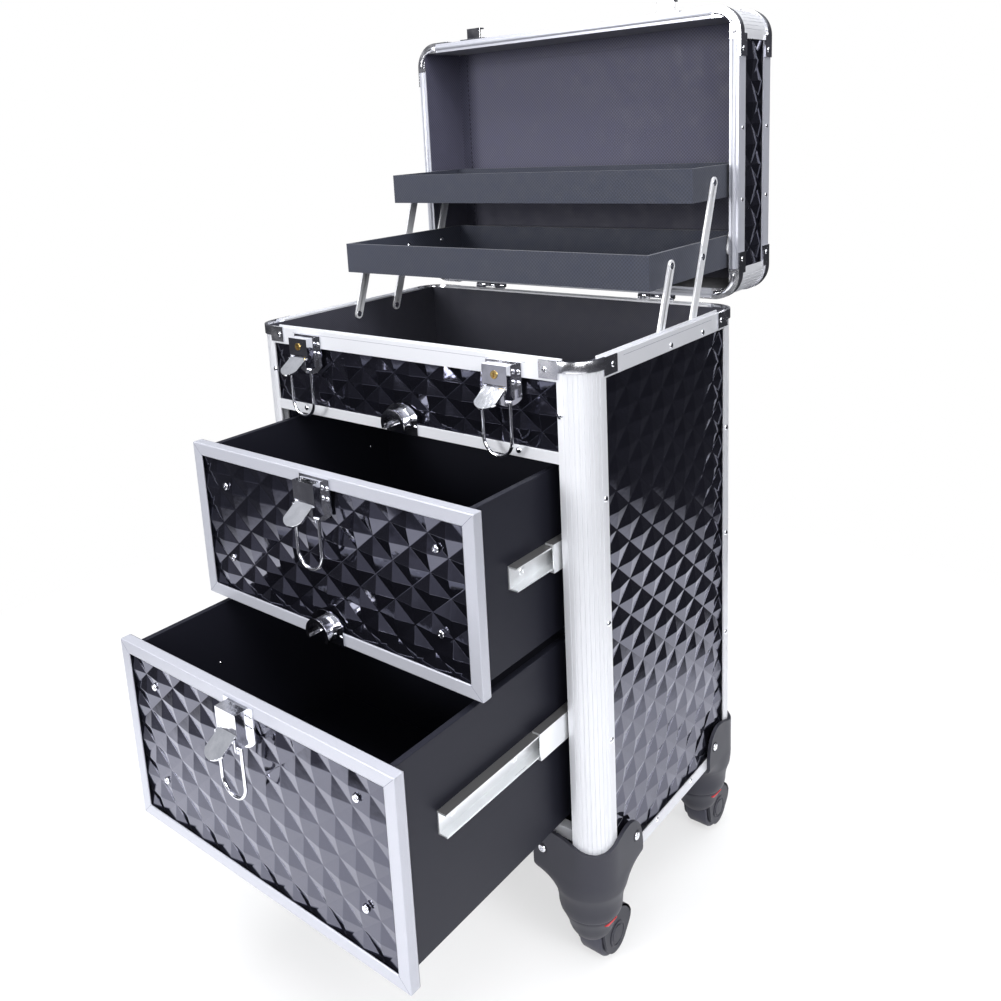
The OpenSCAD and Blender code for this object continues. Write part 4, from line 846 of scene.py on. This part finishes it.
def stitch(mesh, middle, along, out):
    """One sewn stitch, thicker in the middle and dipping in at its ends."""
    side = along.cross(out)
    angles = [2 * math.pi * k / STITCH_SIDES for k in range(STITCH_SIDES)]
    rings = []
    for t, thick in STITCH_FORM:
        spot = middle + along * (t * STITCH * MM)
        ring = []
        for a in angles:
            offset = side * math.cos(a) * STITCH_WIDE + out * math.sin(a) * STITCH_HIGH
            ring.append(mesh.verts.new(spot + offset * thick * MM))
        rings.append(ring)
    for low, high in zip(rings, rings[1:]):
        bridged(mesh, low, high, True)
    mesh.faces.new(list(reversed(rings[0])))
    mesh.faces.new(rings[-1])


seams = bmesh.new()
for side in (-1, 1):
    for k in range(STITCH_COUNT):
        middle = lid_at(side * STITCH_X, STITCH_START + k * STITCH_STEP, LINING_BACK - STITCH_OUT)
        stitch(seams, middle, UP, FRONT)
bmesh.ops.recalc_face_normals(seams, faces=seams.faces)
new_piece("lining_stitches", seams, THREAD, "lid")

# Caster brackets: a round waist that swells and spreads into two ears round the case's corner
STEM_X = 148.0
STEM_IN = 26.0
PLATE_IN = 0.2
EAR_REACH = 60.0
WAIST_LOW = 54.0
# Radius of the waist at each height
WAIST = (
    (WAIST_LOW, 23.4), (54.5, 24.1), (56.0, 24.8), (60.0, 25.6),
    (66.0, 26.0), (72.0, 27.0), (80.0, 29.6), (92.0, 31.0),
)
# Height of the ears' top edge along the plate's path from the corner
EAR_TOP = (
    (0.0, 121.0), (8.0, 121.8), (16.0, 124.2), (24.0, 127.4), (32.0, 130.0), (38.0, 130.8),
    (44.0, 129.8), (50.0, 126.0), (54.0, 120.5), (56.5, 113.5), (57.8, 104.0),
)
EAR_LOW = 77.0
EAR_FULL = 97.0
BORE_R = 5.2
BORE_TOP = 68.0
# Half of the turn that the outer and the inner face of the waist take up
OUTER_TURN = 98.0
INNER_TURN = 78.0


def between(table, x):
    """The value of a table of (x, value) pairs at x."""
    for (x0, v0), (x1, v1) in zip(table, table[1:]):
        if x <= x1:
            t = (x - x0) / (x1 - x0)
            return v0 + (v1 - v0) * t
    return table[-1][1]


def eased(t):
    t = min(1.0, max(0.0, t))
    return t * t * (3 - 2 * t)


ARC_HALF = math.pi / 4 * (POST_R + PLATE_OUT)
EAR_RUN = ARC_HALF + EAR_REACH - POST_R


def round_corner(u, out):
    """A point u millimetres along the plate from the corner, on the side where u is positive."""
    if abs(u) <= ARC_HALF:
        a = math.radians(-45) + u / ARC_HALF * math.pi / 4
        return POST_X + (POST_R + out) * math.cos(a), POST_R + (POST_R + out) * math.sin(a)
    straight = POST_R + abs(u) - ARC_HALF
    if u < 0:
        return HALF_W - straight, -out
    return HALF_W + out, straight


def round_waist(angle, radius):
    a = math.radians(-45 + angle)
    return STEM_X + radius * math.cos(a), STEM_IN + radius * math.sin(a)


EAR_COLUMNS = [2.5 * k for k in range(20)] + [49.0, 51.0, 52.8, 54.4, 55.7, 56.7, 57.4, EAR_RUN]
WAIST_LEVELS = [WAIST_LOW, 54.5, 55.2, 56.0, 58.0, 60.0, 63.0, 66.0, 69.0, 72.0, 75.0]
EAR_LEVELS = 16
TOP_LEVELS = 9


def bracket(mesh, side, rear):
    """One bracket: loops of vertices from the waist's lower rim to the ears' top edge."""
    columns = [-u for u in reversed(EAR_COLUMNS[1:])] + EAR_COLUMNS
    low = WAIST_LEVELS + [EAR_LOW + (EAR_FULL - EAR_LOW) * k / EAR_LEVELS for k in range(EAR_LEVELS)]
    outer_turns = [OUTER_TURN * u / EAR_RUN for u in columns]
    inner_turns = [180 - INNER_TURN * u / EAR_RUN for u in columns]

    def spot(x, y, z):
        return mesh.verts.new(at(side * x, DEPTH - y if rear else y, z))

    def height(level, u):
        if level < len(low):
            return low[level]
        top = between(EAR_TOP, min(abs(u), EAR_RUN))
        return EAR_FULL + (top - EAR_FULL) * (level - len(low) + 1) / TOP_LEVELS

    def blended(u, turn, out, z):
        share = eased((z - EAR_LOW) / (EAR_FULL - EAR_LOW))
        round_x, round_y = round_waist(turn, between(WAIST, z))
        flat_x, flat_y = round_corner(u, out)
        return spot(round_x + (flat_x - round_x) * share, round_y + (flat_y - round_y) * share, z)

    loops = []
    for level in range(len(low) + TOP_LEVELS):
        outer, inner = [], []
        for u, outer_turn, inner_turn in zip(columns, outer_turns, inner_turns):
            z = height(level, u)
            outer.append(blended(u, outer_turn, PLATE_OUT, z))
            inner.append(blended(u, inner_turn, PLATE_IN, z))
        loops.append(outer + inner[::-1])
    for below, above in zip(loops, loops[1:]):
        bridged(mesh, below, above, True)
    top = loops[-1]
    count = len(top)
    for k in range(len(columns) - 1):
        mesh.faces.new((top[k], top[k + 1], top[count - 2 - k], top[count - 1 - k])).smooth = True
    # The bore for the swivel stem
    turns = outer_turns + inner_turns[::-1]
    rim = [spot(*round_waist(turn, BORE_R), WAIST_LOW) for turn in turns]
    end = [spot(*round_waist(turn, BORE_R), BORE_TOP) for turn in turns]
    for k in range(count):
        n = (k + 1) % count
        mesh.faces.new((loops[0][n], loops[0][k], rim[k], rim[n]))
        mesh.faces.new((rim[n], rim[k], end[k], end[n])).smooth = True
    mesh.faces.new(end)


mesh = bmesh.new()
for side in (-1, 1):
    for rear in (False, True):
        bracket(mesh, side, rear)
bmesh.ops.recalc_face_normals(mesh, faces=mesh.faces)
brackets = new_piece("corner_brackets", mesh, BRACKET, "carcass")
rounded(brackets, 0.7)
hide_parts("caster_brackets")

# Caster forks: a bowl under the bracket, cut out for the wheel, with two cheeks and a hood behind it
WHEEL_R = 20.0
TRAIL = 16.0
SLOT_R = 21.3
SLOT_HALF = 11.4
FORK_HALF = 13.9
WELL_LOW = -5.0
HOOD_T = 1.9
CHEEK_R = 16.6
CHEEK_Z = 20.5
CHEEK_SWELL = 6.4
BROW_Y = 6.0
BROW_Z = 33.6
BROW_R = 9.6
SHARP = math.radians(35)
# Radius and height of the ring on each cheek
BOSS = ((10.6, -0.5), (10.6, 0.5), (10.0, 0.8), (9.3, 0.8), (8.9, 0.3), (7.5, 0.3), (7.1, 0.9), (0.4, 1.1))
# Radius and height along the bowl and the stem, from the bottom up
BOWL = (
    (0.0, 24.6), (4.5, 25.0), (8.0, 26.0), (10.8, 28.0), (13.4, 30.5), (15.2, 32.7), (16.8, 35.5),
    (18.0, 38.5), (18.8, 42.0), (20.4, 46.5), (22.0, 50.0), (22.9, 52.4), (22.9, 53.1), (22.4, 53.6),
    (5.0, 53.7), (5.0, 66.0), (4.4, 66.6), (0.0, 66.8),
)


def revolved(mesh, x, y, profile, steps=72):
    """A closed turned body from (radius, height) pairs that start and end on an upright axis."""
    angles = [2 * math.pi * k / steps for k in range(steps)]
    rings = []
    for radius, z in profile[1:-1]:
        spots = [at(x + radius * math.cos(a), y + radius * math.sin(a), z) for a in angles]
        rings.append([mesh.verts.new(spot) for spot in spots])
    for low, high in zip(rings, rings[1:]):
        bridged(mesh, low, high)
    for ring, (radius, z) in ((rings[0], profile[0]), (rings[-1], profile[-1])):
        tip = mesh.verts.new(at(x, y, z))
        for k in range(steps):
            mesh.faces.new((ring[k], ring[(k + 1) % steps], tip))
    bmesh.ops.recalc_face_normals(mesh, faces=mesh.faces)


def plate(mesh, outline, x0, x1):
    """A plate with an outline of (y, z) points, from x0 to x1."""
    low = [mesh.verts.new(at(x0, y, z)) for y, z in outline]
    high = [mesh.verts.new(at(x1, y, z)) for y, z in outline]
    faces = [mesh.faces.new(low), mesh.faces.new(high)]
    for k in range(len(outline)):
        n = (k + 1) % len(outline)
        faces.append(mesh.faces.new((low[k], low[n], high[n], high[k])))
    bmesh.ops.recalc_face_normals(mesh, faces=faces)


def arc(y, z, radius, start, end, steps):
    angles = [math.radians(start + (end - start) * k / steps) for k in range(steps + 1)]
    return [(y + radius * math.cos(a), z + radius * math.sin(a)) for a in angles]


def carved(body, cutter):
    """The first mesh with the second cut away."""
    parts = []
    for mesh in (body, cutter):
        data = bpy.data.meshes.new("carving")
        mesh.to_mesh(data)
        mesh.free()
        part = bpy.data.objects.new("carving", data)
        scene.collection.objects.link(part)
        parts.append(part)
    cut = parts[0].modifiers.new("cut", "BOOLEAN")
    cut.operation = "DIFFERENCE"
    cut.solver = "EXACT"
    cut.object = parts[1]
    bpy.context.view_layer.update()
    done = parts[0].evaluated_get(bpy.context.evaluated_depsgraph_get())
    left = bmesh.new()
    left.from_mesh(done.to_mesh())
    done.to_mesh_clear()
    for part in parts:
        data = part.data
        bpy.data.objects.remove(part)
        bpy.data.meshes.remove(data)
    return left


def fork(name, x, y):
    """The piece that stands for a fork's node."""
    bowl = bmesh.new()
    revolved(bowl, x, y, BOWL)
    wheel_y = y + TRAIL
    slot = bmesh.new()
    well = arc(wheel_y, WHEEL_R, SLOT_R, 0, 180, 48)
    well += [(wheel_y - SLOT_R, WELL_LOW), (wheel_y + SLOT_R, WELL_LOW)]
    plate(slot, well, x - SLOT_HALF, x + SLOT_HALF)
    mesh = carved(bowl, slot)
    crown_r = SLOT_R + HOOD_T
    # The cheek's edge widens behind the wheel to meet the hood
    cheek = arc(wheel_y, CHEEK_Z, CHEEK_R, -165, -30, 28)
    for a in range(-26, 24, 4):
        swelling = CHEEK_R + CHEEK_SWELL * eased((a + 30) / 50)
        cheek += arc(wheel_y, WHEEL_R, swelling, a, a, 1)[:1]
    cheek += arc(wheel_y, WHEEL_R, crown_r, 24, 92, 20) + arc(y + BROW_Y, BROW_Z, BROW_R, 110, 175, 12)
    for way in (-1, 1):
        plate(mesh, cheek, x + way * SLOT_HALF, x + way * FORK_HALF)
        place = Matrix.Translation(at(x + way * FORK_HALF, wheel_y, WHEEL_R)) @ facing(RIGHT * way)
        turned(mesh, place, [(r * MM, h * MM) for r, h in BOSS], steps=40)
    hood = arc(wheel_y, WHEEL_R, SLOT_R, 14, 96, 40) + arc(wheel_y, WHEEL_R, crown_r, 96, 14, 40)
    plate(mesh, hood, x - FORK_HALF, x + FORK_HALF)
    for face in mesh.faces:
        face.smooth = True
    for edge in mesh.edges:
        if len(edge.link_faces) == 2 and edge.calc_face_angle(0) > SHARP:
            edge.smooth = False
    piece = new_piece(f"{name}_body", mesh, BRACKET, name)
    rounded(piece, 0.5)
    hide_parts(name)


# The red wedge on both sides of each bowl, as (turn, height) points on its surface
WEDGE = ((-29.0, 49.4), (-19.0, 46.6), (4.0, 52.4), (-1.0, 53.0))
WEDGE_OUT = 0.9
WEDGE_SUNK = 0.6
BOWL_SIDE = [(h, r) for r, h in BOWL[3:13]]


def on_bowl(x, y, turn, z, way, lift):
    radius = between(BOWL_SIDE, z) + lift
    a = math.radians(turn)
    return at(x + way * radius * math.cos(a), y + radius * math.sin(a), z)


def wedge(mesh, x, y, way):
    """A tapering tab on the bowl with its outer face drawn in."""
    middle_turn = sum(turn for turn, z in WEDGE) / len(WEDGE)
    middle_z = sum(z for turn, z in WEDGE) / len(WEDGE)
    rings = []
    for lift, shrink in ((-WEDGE_SUNK, 1.0), (WEDGE_OUT * 0.6, 1.0), (WEDGE_OUT, 0.8)):
        ring = []
        for turn, z in WEDGE:
            turn = middle_turn + (turn - middle_turn) * shrink
            z = middle_z + (z - middle_z) * shrink
            ring.append(mesh.verts.new(on_bowl(x, y, turn, z, way, lift)))
        rings.append(ring)
    for low, high in zip(rings, rings[1:]):
        bridged(mesh, low, high)
    mesh.faces.new(rings[0])
    mesh.faces.new(rings[-1])


for end, y in (("front", STEM_IN), ("rear", DEPTH - STEM_IN)):
    for hand, side in (("left", -1), ("right", 1)):
        name = f"fork_{end}_{hand}"
        fork(name, side * STEM_X, y)
        mesh = bmesh.new()
        for way in (-1, 1):
            wedge(mesh, side * STEM_X, y, way)
        bmesh.ops.recalc_face_normals(mesh, faces=mesh.faces)
        new_piece(f"wedge_{end}_{hand}", mesh, RED, name)

# Floor, light and camera
FLOOR_HALF = 12.0
PAPER_REACH = 0.66
PAPER_FADE = 0.84
PANEL_BEARING = -0.5
PANEL_HALF = 0.13
PANEL_FADE = 0.12
SHADOW_REACH = 0.35
SHADOW_FADE = 0.9


def pale_floor():
    """White paper round the case. Mirror-like finishes see it end in a dim room with one pale patch."""
    made, tree, shader = finish_of("pale_floor")
    place = put(tree, "ShaderNodeTexCoord").outputs["Object"]
    far = put(tree, "ShaderNodeVectorMath", operation="LENGTH")
    tree.links.new(place, far.inputs[0])
    gone = stepped(tree, far.outputs["Value"], PAPER_REACH, PAPER_FADE)
    ray = put(tree, "ShaderNodeLightPath").outputs
    parts = put(tree, "ShaderNodeSeparateXYZ", {"Vector": place})
    forward = math_node(tree, "MULTIPLY", parts.outputs["Y"], -1.0)
    bearing = math_node(tree, "ARCTAN2", parts.outputs["X"], forward)
    off = math_node(tree, "ABSOLUTE", math_node(tree, "SUBTRACT", bearing, PANEL_BEARING))
    panel = stepped(tree, off, PANEL_HALF, PANEL_HALF + PANEL_FADE, 1.0, 0.0)
    dim = mixed_colour(tree, panel, (0.03, 0.03, 0.035, 1), (0.16, 0.16, 0.18, 1))
    paper = mixed_colour(tree, ray["Is Diffuse Ray"], (0.9, 0.9, 0.91, 1), (0.32, 0.32, 0.33, 1))
    base = mixed_colour(tree, math_node(tree, "MULTIPLY", gone, ray["Is Glossy Ray"]), paper, dim)
    tree.links.new(base, shader.inputs["Base Color"])
    shader.inputs["Roughness"].default_value = 0.9
    shader.inputs["Specular IOR Level"].default_value = 0.1
    # Painted light: for the camera the floor glows white, fully far off and partly near the case, where it
    # lifts the case's shadow
    faded = stepped(tree, far.outputs["Value"], SHADOW_REACH, SHADOW_FADE, 0.55, 1.0)
    clear = math_node(tree, "MULTIPLY", faded, ray["Is Camera Ray"])
    white = put(tree, "ShaderNodeEmission", {"Color": (1, 1, 1, 1), "Strength": 1.0})
    either = put(tree, "ShaderNodeMixShader", {"Fac": clear})
    tree.links.new(shader.outputs[0], either.inputs[1])
    tree.links.new(white.outputs[0], either.inputs[2])
    out = next(n for n in tree.nodes if n.type == "OUTPUT_MATERIAL")
    tree.links.new(either.outputs[0], out.inputs["Surface"])
    return made


floor_mesh = bmesh.new()
bmesh.ops.create_grid(floor_mesh, x_segments=4, y_segments=4, size=FLOOR_HALF)
floor_data = bpy.data.meshes.new("floor")
floor_mesh.to_mesh(floor_data)
floor_mesh.free()
floor_data.materials.append(pale_floor())
floor = bpy.data.objects.new("floor", floor_data)
scene.collection.objects.link(floor)

world = bpy.data.worlds.new("studio")
scene.world = world
world.use_nodes = True
air = world.node_tree
plain = next(n for n in air.nodes if n.type == "BACKGROUND")
plain.inputs["Color"].default_value = (1.0, 1.0, 1.0, 1)
plain.inputs["Strength"].default_value = 1.0
height = up_share(air, "ShaderNodeTexCoord", "Generated")
room_tone = mixed_colour(air, stepped(air, height, 0.25, 0.8), (0.05, 0.05, 0.06, 1), (0.7, 0.72, 0.76, 1))
room = put(air, "ShaderNodeBackground", {"Color": room_tone, "Strength": 1.0})
seen = put(air, "ShaderNodeLightPath").outputs["Is Camera Ray"]
either = put(air, "ShaderNodeMixShader", {"Fac": seen})
air.links.new(room.outputs[0], either.inputs[1])
air.links.new(plain.outputs[0], either.inputs[2])
out = next(n for n in air.nodes if n.type == "OUTPUT_WORLD")
air.links.new(either.outputs[0], out.inputs["Surface"])


def softbox(name, place, aim, width, height, power):
    data = bpy.data.lights.new(name, "AREA")
    data.shape = "RECTANGLE"
    data.size = width
    data.size_y = height
    data.energy = power
    lamp = bpy.data.objects.new(name, data)
    lamp.location = place
    lamp.rotation_mode = "QUATERNION"
    lamp.rotation_quaternion = (Vector(aim) - Vector(place)).to_track_quat("-Z", "Y")
    scene.collection.objects.link(lamp)


softbox("overhead_box", (0.0, -0.1, 2.3), (0, 0.05, 0.3), 2.4, 2.2, 52)
softbox("left_box", (-0.85, -2.25, 1.05), (0, 0, 0.55), 0.7, 1.0, 46)
softbox("right_box", (2.2, -0.7, 1.8), (0, 0, 0.5), 1.0, 1.2, 36)
softbox("near_box", (1.6, -1.8, 1.15), (0, 0, 0.5), 1.1, 1.1, 26)

azimuth = math.radians(CAMERA_AZIMUTH)
elevation = math.radians(CAMERA_ELEVATION)
roll = math.radians(CAMERA_ROLL)
ahead = Vector((-math.sin(azimuth) * math.cos(elevation), math.cos(azimuth) * math.cos(elevation),
                -math.sin(elevation)))
sideways = Vector((math.cos(azimuth), math.sin(azimuth), 0))
upward = sideways.cross(ahead)
camera_x = math.cos(roll) * sideways + math.sin(roll) * upward
camera_y = -math.sin(roll) * sideways + math.cos(roll) * upward
lens = bpy.data.cameras.new("photo_camera")
lens.sensor_width = SENSOR_MM
lens.lens = FOCAL_PX * SENSOR_MM / PICTURE
lens.shift_x = 0.5 - CENTRE_X_PX / PICTURE
lens.shift_y = CENTRE_Y_PX / PICTURE - 0.5
camera = bpy.data.objects.new("photo_camera", lens)
rows = [[camera_x[i], camera_y[i], -ahead[i], at(*CAMERA_AT)[i]] for i in range(3)]
camera.matrix_world = Matrix(rows + [[0, 0, 0, 1]])
scene.collection.objects.link(camera)
scene.camera = camera
scene.view_settings.view_transform = "Standard"
